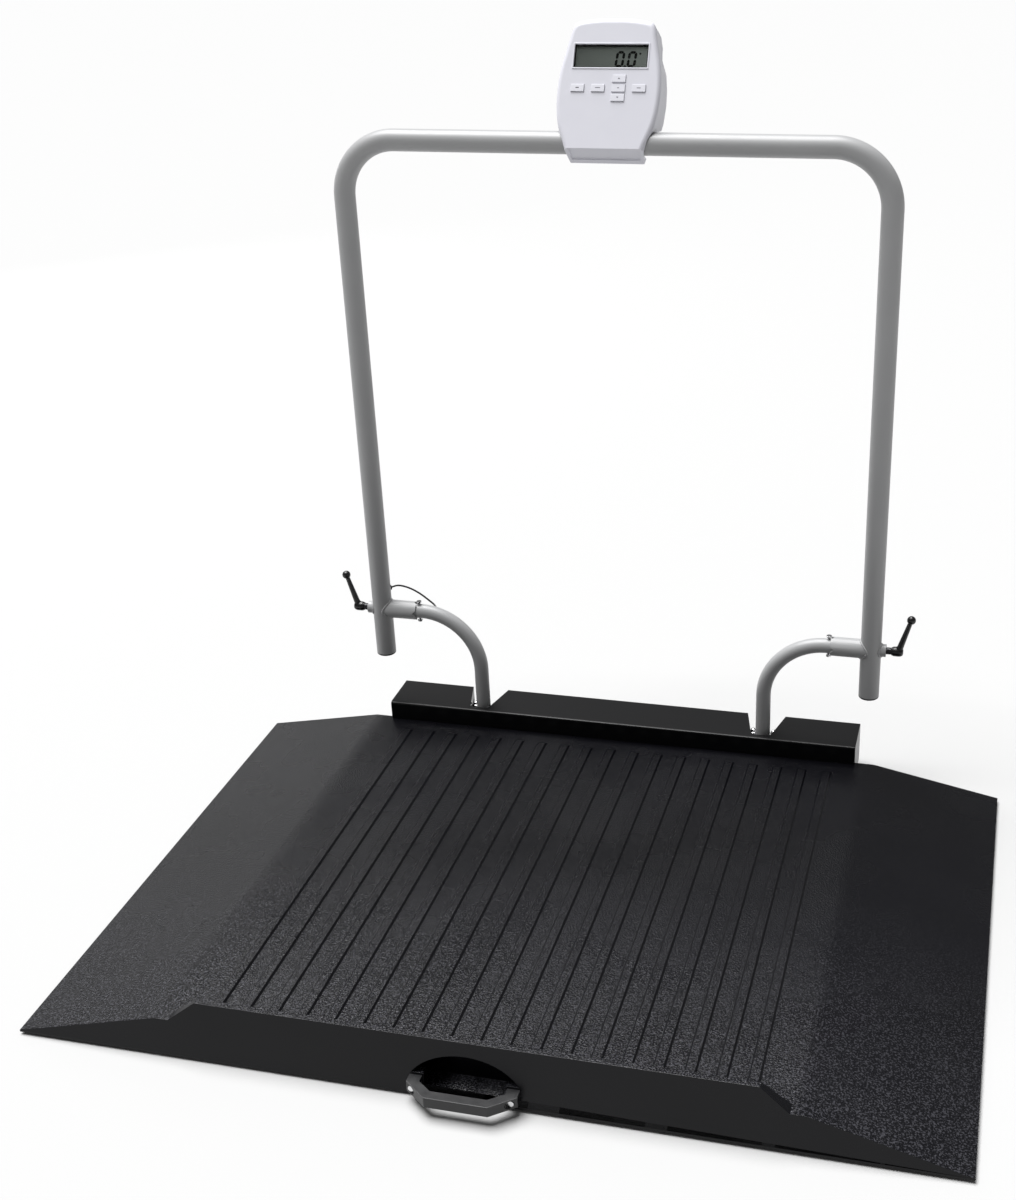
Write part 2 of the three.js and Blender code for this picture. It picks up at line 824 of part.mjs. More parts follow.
function buildRearHousing() {
  const half = housingWidth / 2;
  const lip = deckTop + seatGap;
  const behind = (z) => rearWallY(z) + 0.6;
  const outer = [
    [housingFront, lip],
    [housingFront, housingTop - housingEdge],
    [housingFront + housingEdge * 0.3, housingTop - housingEdge * 0.3],
    [housingFront + housingEdge, housingTop],
    [housingRear - housingBreak, housingTop],
    [housingRear, housingTop - housingBreak],
    [housingRear, housingSkirt],
    [behind(housingSkirt), housingSkirt],
    [behind(lip), lip],
  ];
  const inner = [
    [housingFront + housingWall, lip - past],
    [housingFront + housingWall, housingTop - housingWall],
    [housingRear - housingWall, housingTop - housingWall],
    [housingRear - housingWall, housingSkirt - past],
    [behind(housingSkirt) - 12, housingSkirt - past],
  ];
  let housing = prismX(outer, -half, half);
  const hollow = prismX(inner, -half + housingWall, half - housingWall);
  housing = housing.subtract(hollow);
  const linerBottom = beamTop + flangeThickness + 2 * seatGap;
  const keepIn = block(-half, half, housingFront + 1, housingRear - 1, 0, housingTop - 1);
  for (const side of [-1, 1]) {
    const liner = prismZ(notchPlan(side * postX, housingWall), linerBottom, housingTop - 1);
    housing = housing.add(liner.intersect(keepIn));
  }
  for (const side of [-1, 1]) {
    const plan = notchPlan(side * postX, 0);
    const upper = prismZ(plan, linerBottom - past, housingTop + past);
    const low = block(
      side * postX - notchWide / 2,
      side * postX + notchWide / 2,
      housingRear - housingWall - 2,
      housingRear + past,
      beamTop - 20,
      housingTop + past,
    );
    const rearGap = low.intersect(prismZ(plan, housingSkirt, housingTop + past));
    const [w0, w1] = span(side, bracketInner - 4, half - housingWall - 0.5);
    const wheelGap = block(
      w0,
      w1,
      housingRear - housingWall - 2,
      housingRear + past,
      0,
      axleZ + wheelRadius + 3,
    );
    housing = housing.subtract(upper).subtract(rearGap).subtract(wheelGap);
  }
  place("rear_housing", housing, "housing");
}

// ---- Posts and fold joint
function postRoute(side) {
  const centreX = postX + postBend;
  const centreZ = pivotHeight - postBend;
  const low = new THREE.Vector3(postX, railY, beamBottom + beamWall + seatGap);
  const arc = bendPoints(centreX, centreZ, postBend, 180, 90, 8, railY);
  const end = new THREE.Vector3(postEnd, railY, pivotHeight);
  const route = [low, ...arc, end];
  return side > 0 ? route : route.map((p) => new THREE.Vector3(-p.x, p.y, p.z));
}

function cableEntry() {
  const rise = Math.sqrt(postBend ** 2 - (bendEnd - cableEntryRun) ** 2);
  return new THREE.Vector3(-cableEntryRun, railY, pivotHeight - postBend + rise);
}

function buildPost(side) {
  const name = side < 0 ? "left" : "right";
  const route = postRoute(side);
  let post = sweep(ring(postRadius, postRadius - postWall, 20), route);
  const at = [0, railY, pivotHeight];
  const [p0, p1] = span(side, postEnd - plugLength - past, postEnd - past);
  post = post.add(rod("x", at, postRadius - postWall + 0.4, p0, p1));
  post = post.subtract(rod("x", at, studRadius + seatGap, p0 - 1, p1 + 4));
  const boltAt = [side * boltX, railY, 0];
  const low = pivotHeight - collarRadius * 2;
  post = post.subtract(rod("z", boltAt, boltRadius + seatGap, low, pivotHeight + collarRadius * 2, 16));
  if (side < 0) {
    const entry = cableEntry();
    const hole = rod("y", [entry.x, 0, entry.z], grommetHole, railY + 2, railY + postRadius * 2, 16);
    post = post.subtract(hole);
  }
  place("post_" + name, post, "rail");

  const reach = collarRadius + seatGap;
  const shank = rod("z", boltAt, boltRadius, pivotHeight - reach - weld, pivotHeight + reach + weld, 16);
  const headEnd = reach + boltHeadHeight;
  const headTop = rod("z", boltAt, boltHead, pivotHeight + reach, pivotHeight + headEnd, 12);
  const headLow = rod("z", boltAt, boltHead, pivotHeight - headEnd, pivotHeight - reach, 6);
  place("cross_bolt_" + name, shank.add(headTop).add(headLow), "zinc");

  const z0 = beamTop + seatGap;
  const flangePlan = [
    [side * postX - flangeWidth / 2, railY - flangeFront],
    [side * postX + flangeWidth / 2, railY - flangeFront],
    [side * postX + flangeWidth / 2, railY + flangeRear],
    [side * postX - flangeWidth / 2, railY + flangeRear],
  ];
  let flange = prismZ(flangePlan, z0, z0 + flangeThickness);
  const bore = rod("z", [side * postX, railY, 0], postRadius + seatGap, z0 - past, z0 + 20);
  flange = flange.subtract(bore);
  for (const [label, turn] of [["a", -1], ["b", 1]]) {
    const x = side * postX + (turn * nutSpacing) / 2;
    const y = railY + nutOffset;
    flange = flange.subtract(rod("z", [x, y, 0], nutStud + seatGap, z0 - past, z0 + 20, 16));
    const base = z0 + flangeThickness + seatGap;
    const nut = [
      [0, beamTop - beamWall],
      [nutStud, beamTop - beamWall],
      [nutStud, base],
      [nutRadius, base],
      [nutRadius, base + nutHex],
      [nutRadius - edgeBreak, base + nutHex + 0.2],
      [nutRadius - 1.3, base + nutHeight - 2.4],
      [nutRadius - 3, base + nutHeight - 0.6],
      [0, base + nutHeight],
    ];
    place("flange_nut_" + name + "_" + label, turnedZ(nut, [x, y, 0], 12), "zinc");
  }
  place("post_flange_" + name, flange, "steel");
}

// ---- Handrail
function railRoute() {
  const centreX = legX - railBend;
  const centreZ = railTop - railBend;
  const left = bendPoints(-centreX, centreZ, railBend, 180, 90, 7, railY);
  const right = bendPoints(centreX, centreZ, railBend, 90, 0, 7, railY);
  return [
    new THREE.Vector3(-legX, railY, legBottom),
    ...left,
    ...right,
    new THREE.Vector3(legX, railY, legBottom),
  ];
}

const grommetTurn = Math.PI / 4; // the leg's cable hole faces half inwards and half backwards

function legGrommet(profile) {
  const geometry = turned(profile, 12).rotateZ(-Math.PI / 2).rotateZ(grommetTurn);
  return solid(geometry.translate(-legX, railY, cableExitHeight));
}

function buildHandrail() {
  let tube = sweep(ring(railRadius, railRadius - railWall, 20), railRoute());
  for (const side of [-1, 1]) {
    const [x0, x1] = span(side, legX - railRadius * 2, legX + railRadius * 2);
    tube = tube.subtract(rod("x", [0, railY, pivotHeight], studRadius + holeGap, x0, x1));
  }
  const hole = [
    [0, 2],
    [grommetHole, 2],
    [grommetHole, railRadius + 6],
    [0, railRadius + 6],
  ];
  tube = tube.subtract(legGrommet(hole));
  place("handrail_tube", tube, "rail");
  const bore = cableDiameter / 2 + seatGap;
  const grommet = [
    [bore, railRadius - 3.5],
    [grommetNeck, railRadius - 3.5],
    [grommetNeck, railRadius + seatGap],
    [grommetRim, railRadius + seatGap],
    [grommetRim, railRadius + 1.6],
    [grommetLip, railRadius + 2.2],
    [bore, railRadius + 2.2],
    [bore, railRadius - 3.5],
  ];
  place("cable_grommet_leg", legGrommet(grommet), "rubber");
}

function buildLegEnd(side) {
  const name = side < 0 ? "left" : "right";
  const at = [0, railY, pivotHeight];
  const inside = legX - railRadius * 0.4;
  const leg = rod("z", [side * legX, railY, 0], railRadius + seatGap, pivotHeight - 40, pivotHeight + 40);
  const [c0, c1] = span(side, collarInner, inside);
  let collar = rod("x", at, collarRadius, c0, c1);
  collar = collar.subtract(rod("x", at, collarRadius - collarWall, c0 - past, c1 + past));
  collar = collar.subtract(leg);
  const mouth = side * (collarInner - 1);
  const tip = side * (collarInner + notchDepth);
  const wide = notchDepth + 1;
  const alongZ = [
    [mouth, railY - wide],
    [tip, railY],
    [mouth, railY + wide],
  ];
  const alongY = [
    [mouth, pivotHeight - wide],
    [tip, pivotHeight],
    [mouth, pivotHeight + wide],
  ];
  collar = collar.subtract(prismZ(alongZ, pivotHeight - 20, pivotHeight + 20));
  collar = collar.subtract(prismY(alongY, railY - 20, railY + 20));
  place("collar_" + name, collar, "rail");

  const [b0, b1] = span(side, legX + railRadius * 0.4, bossOuter);
  let boss = rod("x", at, bossRadius, b0, b1);
  boss = boss.subtract(rod("x", at, studRadius + holeGap, b0 - past, b1 + past));
  place("clamp_boss_" + name, boss.subtract(leg), "rail");

  const plugRadius = railRadius - railWall - seatGap;
  const cap = [
    [0, legBottom - seatGap - capFlange],
    [railRadius - 1, legBottom - seatGap - capFlange],
    [railRadius, legBottom - seatGap - capFlange + 1],
    [railRadius, legBottom - seatGap],
    [plugRadius, legBottom - seatGap],
    [plugRadius, legBottom + capPlug],
    [0, legBottom + capPlug],
  ];
  place("leg_cap_" + name, turnedZ(cap, [side * legX, railY, 0]), "lever");
}

function buildClamp(side) {
  const name = side < 0 ? "left" : "right";
  const at = [0, railY, pivotHeight];
  const stud = [
    [0, postEnd - 17],
    [studRadius, postEnd - 17],
    [studRadius, bossOuter + seatGap],
    [insertRadius, bossOuter + seatGap],
    [insertRadius, insertEnd],
    [insertRadius - splineDepth, insertEnd],
    [insertRadius - splineDepth, insertEnd + splineLength],
    [0, insertEnd + splineLength],
  ];
  place("clamp_stud_" + name, turnedX(stud, side, at, 16), "steel");

  const hub = [
    [0, insertEnd + splineLength + leverTravel],
    [insertRadius - splineDepth + holeGap, insertEnd + splineLength + leverTravel],
    [insertRadius - splineDepth + holeGap, hubStart],
    [leverHub - 1, hubStart],
    [leverHub, hubStart + 1.5],
    [leverHub, hubEnd - 2],
    [leverHub - 2.2, hubEnd],
    [0, hubEnd],
  ];
  let lever = turnedX(hub, side, at);
  const rootX = hubEnd - leverInset;
  const root = new THREE.Vector3(side * rootX, railY, pivotHeight + leverRise);
  const ball = new THREE.Vector3(side * (rootX + leverLean), railY, pivotHeight + leverReach);
  const run = new THREE.Vector3().subVectors(ball, root);
  const arm = new THREE.CylinderGeometry(leverTip, leverRoot, run.length(), 12);
  arm.applyQuaternion(
    new THREE.Quaternion().setFromUnitVectors(new THREE.Vector3(0, 1, 0), run.clone().normalize()),
  );
  const middle = new THREE.Vector3().addVectors(root, ball).multiplyScalar(0.5);
  lever = lever.add(solid(arm.translate(middle.x, middle.y, middle.z)));
  const knob = new THREE.SphereGeometry(ballRadius, 14, 10);
  lever = lever.add(solid(knob.translate(ball.x, ball.y, ball.z)));
  place("clamp_lever_" + name, lever, "lever");
}

// ---- Signal cable: out of the left leg, back and over, into the rear of the left post's bend
function buildCable() {
  const out = railRadius + 2.2 + seatGap + 0.2;
  const cosine = Math.cos(grommetTurn);
  const entry = cableEntry();
  const start = new THREE.Vector3(-legX + out * cosine, railY + out * cosine, cableExitHeight);
  const points = [
    start,
    new THREE.Vector3(-legX + 21, railY + 19.5, cableExitHeight + 0.3),
    new THREE.Vector3(-legX + 36, railY + 25, cableExitHeight - 5),
    new THREE.Vector3(-legX + 53, railY + 26.5, cableExitHeight - 14),
    new THREE.Vector3(-legX + 68, railY + 25.2, cableExitHeight - 24),
    new THREE.Vector3(-legX + 77, railY + 23, cableExitHeight - 29.7),
    new THREE.Vector3(entry.x, railY + 17, entry.z + 0.2),
    new THREE.Vector3(entry.x, railY + 14, entry.z),
    new THREE.Vector3(entry.x, railY + postRadius - 1.5, entry.z),
  ];
  const curve = new THREE.CatmullRomCurve3(points, false, "centripetal");
  const geometry = new THREE.ExtrudeGeometry(ring(cableDiameter / 2, 0, 8), {
    steps: 22,
    extrudePath: curve,
    bevelEnabled: false,
  });
  place("signal_cable", solid(geometry), "rubber");
  const bore = cableDiameter / 2 + seatGap;
  const grommet = [
    [bore, postRadius - 3],
    [grommetNeck, postRadius - 3],
    [grommetNeck, postRadius + seatGap],
    [grommetRim, postRadius + seatGap],
    [grommetRim, postRadius + 1.4],
    [grommetLip, postRadius + 2],
    [bore, postRadius + 2],
    [bore, postRadius - 3],
  ];
  const geometryOut = turned(grommet, 12).translate(entry.x, railY, entry.z);
  place("cable_grommet_post", solid(geometryOut), "rubber");
}

// ---- Display head
function headHalf(inset) {
  const half = [
    [49.5, -26],
    [53.5, -13],
    [58.6, 0],
    [64.4, 16],
    [68.4, 36],
    [70, 58],
    [69.3, 80],
    [66.6, 100],
    [62.6, 118],
    [58.6, 136],
    [55.4, 150],
    [52.6, 155],
    [47, 157.6],
    [32, 160.2],
    [16, 161.6],
  ];
  return half.map(([x, v]) => {
    const top = v > 154 ? v - inset : v;
    return [x - inset, top];
  });
}

function headPrism(inset, low, high, edge) {
  const shape = outline(mirrored(headHalf(inset + edge)));
  const geometry = new THREE.ExtrudeGeometry(shape, {
    depth: high - low - 2 * edge,
    bevelEnabled: edge > 0,
    bevelThickness: edge,
    bevelSize: edge,
    bevelSegments: 2,
  });
  return solid(geometry.rotateX(Math.PI / 2).translate(0, high - edge, 0));
}

const chinDrop = 0.3077; // fall of the chin per mm of depth
const chin = (y) => chinWall - slotRadius - (y + headFace) * chinDrop;

function boxV(halfX, x, v, halfV, y0, y1) {
  return block(x - halfX, x + halfX, y0, y1, v - halfV, v + halfV);
}

function keySpots() {
  const left = -1.5 * keyPitch;
  return [
    [left, keyRow],
    [left + keyPitch, keyRow],
    [left + 2 * keyPitch, keyRow + keyColumn],
    [left + 2 * keyPitch, keyRow],
    [left + 2 * keyPitch, keyRow - keyColumn],
    [left + 3 * keyPitch, keyRow],
  ];
}

function tubeSlot() {
  const barrel = rod("x", [0, 0, 0], slotRadius, -beyond, beyond, 24);
  return barrel.add(block(-beyond, beyond, 0, headBack + past, -slotRadius, slotRadius));
}

function buildFrontShell() {
  const wall = headFace - headWall;
  let shell = headPrism(0, -headFace, headBack, headEdge);
  const inside = headPrism(headWall, -wall, headBack, 0);
  const bottomWall = [
    [-headFace - past, chin(-headFace) + 6],
    [headBack + past, slotRadius + 3],
    [headBack + past, 200],
    [-headFace - past, 200],
  ];
  shell = shell.subtract(inside.intersect(prismX(bottomWall, -beyond, beyond)));
  const below = [
    [-headFace - past, chin(-headFace - past)],
    [headBack + past, chin(headBack + past)],
    [headBack + past, -60],
    [-headFace - past, -60],
  ];
  shell = shell.subtract(prismX(below, -beyond, beyond));
  shell = shell.subtract(tubeSlot());
  shell = shell.subtract(block(-beyond, beyond, headSplit, headBack + past, -5, 200));
  shell = shell.subtract(block(-beyond, beyond, frontWrap, headBack + past, -60, 200));
  const bezelOuter = boxV(
    windowWidth / 2 + bezelWidth,
    0,
    windowCentre,
    windowHeight / 2 + bezelWidth,
    -headFace - 0.8,
    -wall,
  );
  shell = shell.add(bezelOuter);
  const opening = [windowWidth / 2, 0, windowCentre, windowHeight / 2];
  shell = shell.subtract(boxV(...opening, -headFace - past, -wall + 1));
  for (const [x, v] of keySpots()) {
    const hole = boxV(keyWidth / 2 + seatGap, x, v, keyHeight / 2 + seatGap, -headFace - past, 0);
    shell = shell.subtract(hole);
  }
  for (const side of [-1, 1]) {
    for (const v of [42, 62]) {
      const at = [side * sidePostX, 0, v];
      shell = shell.add(rod("y", at, sidePostRadius, -wall - weld, boardFront - seatGap, 12));
    }
  }
  place("head_front_shell", shell, "shell", headFrame);
}

function rearFloor(offset) {
  return [
    [headSplit - 20, slotRadius + 0.8 + offset],
    [headSplit, slotRadius + 0.8 + offset],
    [headBack + past, slotRadius + 12 + offset],
    [headBack + past, 200],
    [headSplit - 20, 200],
  ];
}

function screwAt(side) {
  return [(side * clampScrewSpacing) / 2, 0, clampScrewHeight];
}

function buildRearShell() {
  let shell = headPrism(0, -headFace, headBack, headEdge);
  shell = shell.intersect(block(-beyond, beyond, headSplit + seatGap, headBack + past, -60, 200));
  shell = shell.intersect(prismX(rearFloor(0), -beyond, beyond));
  let hollow = headPrism(headWall, -headFace, headBack - headWall, 0);
  hollow = hollow.intersect(prismX(rearFloor(headWall), -beyond, beyond));
  const pocketFloor = headBack - pocketDepth;
  const pocketWall = boxV(
    pocketWidth / 2 + 2,
    0,
    doorCentre,
    pocketHeight / 2 + 2,
    pocketFloor - 2,
    headBack + past,
  );
  hollow = hollow.subtract(pocketWall);
  for (const side of [-1, 1]) {
    hollow = hollow.subtract(rod("y", screwAt(side), 5, pocketFloor, headBack + past, 16));
  }
  shell = shell.subtract(hollow);
  shell = shell.subtract(
    boxV(pocketWidth / 2, 0, doorCentre, pocketHeight / 2, pocketFloor, headBack + past),
  );
  for (const side of [-1, 1]) {
    const hole = rod("y", screwAt(side), clampScrewRadius + seatGap, headBack - 11, headBack + past, 16);
    shell = shell.subtract(hole);
  }
  place("head_rear_shell", shell, "shell", headFrame);

  const tab = headBack + seatGap;
  const saddleHalf = slotRadius - seatGap;
  const saddle = [
    [6, -saddleHalf],
    [railRadius + 6, -saddleHalf],
    [railRadius + 11, -saddleHalf + 4.7],
    [tab + clampTab, slotRadius + 4],
    [tab + clampTab, clampScrewHeight + 7],
    [tab, clampScrewHeight + 7],
    [tab, slotRadius + 8],
    [railRadius + 7, saddleHalf],
    [6, saddleHalf],
  ];
  let clamp = prismX(saddle, -clampWidth / 2, clampWidth / 2);
  clamp = clamp.subtract(rod("x", [0, 0, 0], railRadius + seatGap + runningGap, -clampWidth, clampWidth, 32));
  for (const side of [-1, 1]) {
    const at = screwAt(side);
    clamp = clamp.subtract(rod("y", at, clampScrewRadius + seatGap, tab - past, tab + 8, 16));
    const head = rod("y", at, 3.2, tab + clampTab + seatGap, tab + clampTab + 2.8, 16);
    const shank = rod("y", at, clampScrewRadius, headBack - 9, tab + 5, 12);
    const name = side < 0 ? "left" : "right";
    place("tube_clamp_screw_" + name, head.add(shank), "zinc", headFrame);
  }
  place("head_tube_clamp", clamp, "shell", headFrame);

  const door = boxV(doorWidth / 2, 0, doorCentre, doorHeight / 2, tab, tab + doorThickness);
  const grip = boxV(doorGrip, 0, doorCentre + doorHeight / 2 - 6, 1.2, tab + 1, tab + doorThickness + 1);
  place("battery_door", door.add(grip), "shell", headFrame);
}

function buildDisplay() {
  const wall = headFace - headWall;
  const lens = boxV(
    windowWidth / 2 - seatGap,
    0,
    windowCentre,
    windowHeight / 2 - seatGap,
    -headFace + 0.4,
    -wall - seatGap,
  );
  place("lcd_window", lens, "lens", headFrame);
  const module = boxV(
    windowWidth / 2 + 2,
    0,
    windowCentre,
    windowHeight / 2 + 3,
    -wall + seatGap,
    boardFront - seatGap,
  );
  place("lcd_module", module, "glass", headFrame);
  const boardBack = boardFront + boardThickness;
  const board = boxV(boardHalfWidth, 0, boardCentre, boardHalfHeight, boardFront, boardBack);
  place("main_board", board, "board", headFrame);
  const names = ["key_zero", "key_units", "key_up", "key_enter", "key_down", "key_power"];
  keySpots().forEach(([x, v], i) => {
    const cap = boxV(keyWidth / 2, x, v, keyHeight / 2, -headFace - keyProud, -wall + 1);
    const flange = boxV(keyWidth / 2 + 1.2, x, v, keyHeight / 2 + 1.1, -wall + seatGap, -wall + 1.3);
    const stemEnd = boardFront - keyTravel - 0.4;
    const stem = rod("y", [x, 0, v], 3, -wall + weld, stemEnd, 16);
    place(names[i], cap.add(flange).add(stem), "key", headFrame);
  });
}

// ---- Assembly
buildPlatform();
buildFrontHandle();
buildCell("front_left", -1, cellInset);
buildCell("front_right", 1, cellInset);
buildCell("rear_left", -1, platformDepth - cellInset);
buildCell("rear_right", 1, platformDepth - cellInset);
buildRearBeam();
buildRearHousing();
buildHandrail();
for (const side of [-1, 1]) {
  buildWheel(side);
  buildPost(side);
  buildLegEnd(side);
  buildClamp(side);
}
buildCable();
buildFrontShell();
buildRearShell();
buildDisplay();

// The origin is the middle of the footprint of the whole object, on the floor.
assembly.updateMatrixWorld(true);
const extent = new THREE.Box3().setFromObject(assembly, true);
assembly.position.y = -(extent.min.y + extent.max.y) / 2;

export default scale;
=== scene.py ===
# Animal weighing scale: the looks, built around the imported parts. Sizes are in millimetres unless a
# name says otherwise, and become metres where an operator needs them.
import json
import math

import bpy
from mathutils import Matrix, Vector


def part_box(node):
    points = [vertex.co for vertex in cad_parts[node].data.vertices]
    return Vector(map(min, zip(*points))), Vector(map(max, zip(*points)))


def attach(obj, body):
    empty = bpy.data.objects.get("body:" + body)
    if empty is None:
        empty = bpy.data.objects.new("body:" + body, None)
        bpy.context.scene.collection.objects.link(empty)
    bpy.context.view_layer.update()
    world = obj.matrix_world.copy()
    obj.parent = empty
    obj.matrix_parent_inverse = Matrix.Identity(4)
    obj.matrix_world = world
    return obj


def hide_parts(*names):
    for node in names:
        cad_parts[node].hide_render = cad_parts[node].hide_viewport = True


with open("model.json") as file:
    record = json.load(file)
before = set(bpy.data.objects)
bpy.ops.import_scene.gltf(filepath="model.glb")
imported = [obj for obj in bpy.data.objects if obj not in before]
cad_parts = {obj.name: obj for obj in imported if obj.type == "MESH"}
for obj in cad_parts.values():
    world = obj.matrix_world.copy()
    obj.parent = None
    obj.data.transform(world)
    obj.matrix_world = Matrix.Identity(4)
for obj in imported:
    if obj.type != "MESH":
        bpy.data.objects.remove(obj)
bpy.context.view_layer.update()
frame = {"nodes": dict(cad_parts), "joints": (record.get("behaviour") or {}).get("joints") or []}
mm = 0.001
mergeGap = 0.002 * mm

joints = {joint["name"]: joint for joint in frame["joints"]}
foldPoint = Vector(joints["handrail_fold"]["pos_m"])
headPoint = Vector(joints["head_tilt"]["pos_m"])
headLean = math.atan2(-joints["press_zero"]["axis"][2], joints["press_zero"]["axis"][1])
headTurn = Matrix.Translation(headPoint) @ Matrix.Rotation(-headLean, 4, "X")
sides = {"left": -1, "right": 1}


# Modelling helpers

def clearPick():
    if bpy.context.object and bpy.context.object.mode != "OBJECT":
        bpy.ops.object.mode_set(mode="OBJECT")
    bpy.ops.object.select_all(action="DESELECT")


def pick(piece):
    clearPick()
    piece.select_set(True)
    bpy.context.view_layer.objects.active = piece


def editAll(piece):
    pick(piece)
    bpy.ops.object.mode_set(mode="EDIT")
    bpy.ops.mesh.select_all(action="SELECT")


def leaveEdit():
    bpy.ops.object.mode_set(mode="OBJECT")


def addModifier(piece, kind, **values):
    modifier = piece.modifiers.new(kind.title(), kind)
    for key, value in values.items():
        setattr(modifier, key, value)
    pick(piece)
    bpy.ops.object.modifier_apply(modifier=modifier.name)


def smooth(piece, degrees):
    pick(piece)
    bpy.ops.object.shade_smooth_by_angle(angle=math.radians(degrees))


def settle(piece):
    # Puts the piece's place, turn and scale into its mesh.
    pick(piece)
    bpy.ops.object.transform_apply(location=True, rotation=True, scale=True)


def copyNode(nodeName, pieceName, flat=0.6):
    # A CAD part's mesh with its doubles merged and its flat faces made whole.
    source = frame["nodes"][nodeName]
    piece = bpy.data.objects.new(pieceName, source.data.copy())
    bpy.context.scene.collection.objects.link(piece)
    piece.data.materials.clear()
    pick(piece)
    if piece.data.has_custom_normals:
        bpy.ops.mesh.customdata_custom_splitnormals_clear()
    editAll(piece)
    bpy.ops.mesh.remove_doubles(threshold=0.01 * mm)
    bpy.ops.mesh.dissolve_limited(angle_limit=math.radians(flat))
    leaveEdit()
    return piece


def roundEdges(piece, width, segments=3, degrees=30):
    addModifier(
        piece, "BEVEL", width=width * mm, segments=segments, limit_method="ANGLE",
        angle_limit=math.radians(degrees), use_clamp_overlap=True,
    )
    smooth(piece, degrees)
    # Large faces keep their own normal, so that only the rounded edges catch the light.
    addModifier(piece, "WEIGHTED_NORMAL", mode="FACE_AREA", weight=100, keep_sharp=True)


def finishPiece(piece, body, slot, material, *nodes):
    if not piece.data.materials:
        piece.data.materials.append(material)
    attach(piece, body)
    if nodes:
        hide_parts(*nodes)


def refine(nodeName, pieceName, body, slot, material, width=0.6, segments=3, degrees=30):
    # A CAD part with its edges eased, as it leaves the mould or the machine.
    piece = copyNode(nodeName, pieceName)
    roundEdges(piece, width, segments, degrees)
    finishPiece(piece, body, slot, material, nodeName)


def profileLine(name, points):
    # One vertex, extruded from point to point.
    clearPick()
    bpy.ops.mesh.primitive_plane_add(size=mm, location=(0, 0, 0))
    piece = bpy.context.object
    piece.name = name
    bpy.ops.object.mode_set(mode="EDIT")
    bpy.ops.mesh.select_all(action="SELECT")
    bpy.ops.mesh.merge(type="CENTER")
    bpy.ops.transform.translate(value=Vector(points[0]) * mm)
    for here, there in zip(points, points[1:]):
        step = (Vector(there) - Vector(here)) * mm
        bpy.ops.mesh.extrude_region_move(TRANSFORM_OT_translate={"value": step})
    return piece


def turnPiece(name, profile):
    # profile holds radius and height pairs, and is spun about the upright axis.
    piece = profileLine(name, [(radius, 0, height) for radius, height in profile])
    bpy.ops.mesh.select_all(action="SELECT")
    bpy.ops.mesh.spin(steps=48, angle=2 * math.pi, center=(0, 0, 0), axis=(0, 0, 1))
    bpy.ops.mesh.select_all(action="SELECT")
    bpy.ops.mesh.remove_doubles(threshold=mergeGap)
    bpy.ops.mesh.normals_make_consistent(inside=False)
    leaveEdit()
    smooth(piece, 32)
    return piece


def placeAt(piece, location, turn=(0, 0, 0)):
    piece.location = location
    piece.rotation_euler = turn
    settle(piece)
    return piece


def joinPieces(first, *others):
    clearPick()
    for piece in others:
        piece.select_set(True)
    first.select_set(True)
    bpy.context.view_layer.objects.active = first
    bpy.ops.object.join()
    return first


# Finishes: a small wrapper for shader maths and one method for every other node

class Value:
    def __init__(self, finish, socket):
        self.finish = finish
        self.socket = socket

    def maths(self, operation, *terms):
        return self.finish.add("ShaderNodeMath", {"operation": operation}, dict(enumerate(terms)))

    def __add__(self, other):
        return self.maths("ADD", self, other)

    def __radd__(self, other):
        return self.maths("ADD", other, self)

    def __sub__(self, other):
        return self.maths("SUBTRACT", self, other)

    def __rsub__(self, other):
        return self.maths("SUBTRACT", other, self)

    def __mul__(self, other):
        return self.maths("MULTIPLY", self, other)

    def __rmul__(self, other):
        return self.maths("MULTIPLY", other, self)


class Finish:
    def __init__(self, name, **values):
        self.material = bpy.data.materials.new(name)
        self.material.use_nodes = True
        self.tree = self.material.node_tree
        self.shader = self.tree.nodes["Principled BSDF"]
        for key, value in values.items():
            self.shader.inputs[key].default_value = value

    def add(self, kind, settings=None, inputs=None, output=0):
        node = self.tree.nodes.new(kind)
        for key, value in (settings or {}).items():
            if key == "stops":
                ramp = node.color_ramp
                ramp.elements[0].position, ramp.elements[0].color = value[0]
                ramp.elements[1].position, ramp.elements[1].color = value[-1]
                for place, colour in value[1:-1]:
                    ramp.elements.new(place).color = colour
            else:
                setattr(node, key, value)
        for key, value in (inputs or {}).items():
            if isinstance(value, Value):
                self.tree.links.new(value.socket, node.inputs[key])
            else:
                node.inputs[key].default_value = value
        return Value(self, node.outputs[output])

    def place(self, scale=(1, 1, 1)):
        point = self.add("ShaderNodeTexCoord", output="Object")
        return self.add("ShaderNodeMapping", None, {"Vector": point, "Scale": scale})

    def noise(self, scale, detail=2.0, roughness=0.5, stretch=(1, 1, 1)):
        return self.add(
            "ShaderNodeTexNoise", None,
            {"Vector": self.place(stretch), "Scale": scale, "Detail": detail, "Roughness": roughness},
        )

    def cells(self, scale, smoothness=1.0):
        return self.add(
            "ShaderNodeTexVoronoi", {"feature": "SMOOTH_F1"},
            {"Vector": self.place(), "Scale": scale, "Smoothness": smoothness},
        )

    def spread(self, value, low, high, start=0.0, end=1.0):
        return self.add(
            "ShaderNodeMapRange", {"clamp": True},
            {"Value": value, "From Min": low, "From Max": high, "To Min": start, "To Max": end},
        )

    def blend(self, factor, first, second):
        return self.add(
            "ShaderNodeMix", {"data_type": "RGBA"}, {0: factor, 6: first, 7: second}, output=2
        )

    def feed(self, key, value):
        self.tree.links.new(value.socket, self.shader.inputs[key])

    def bump(self, height, strength, distance):
        self.feed("Normal", self.add(
            "ShaderNodeBump", None, {"Height": height, "Strength": strength, "Distance": distance * mm},
        ))


def upward(finish):
    normal = finish.add("ShaderNodeNewGeometry", output="Normal")
    return finish.add("ShaderNodeSeparateXYZ", None, {0: normal}, output=2)


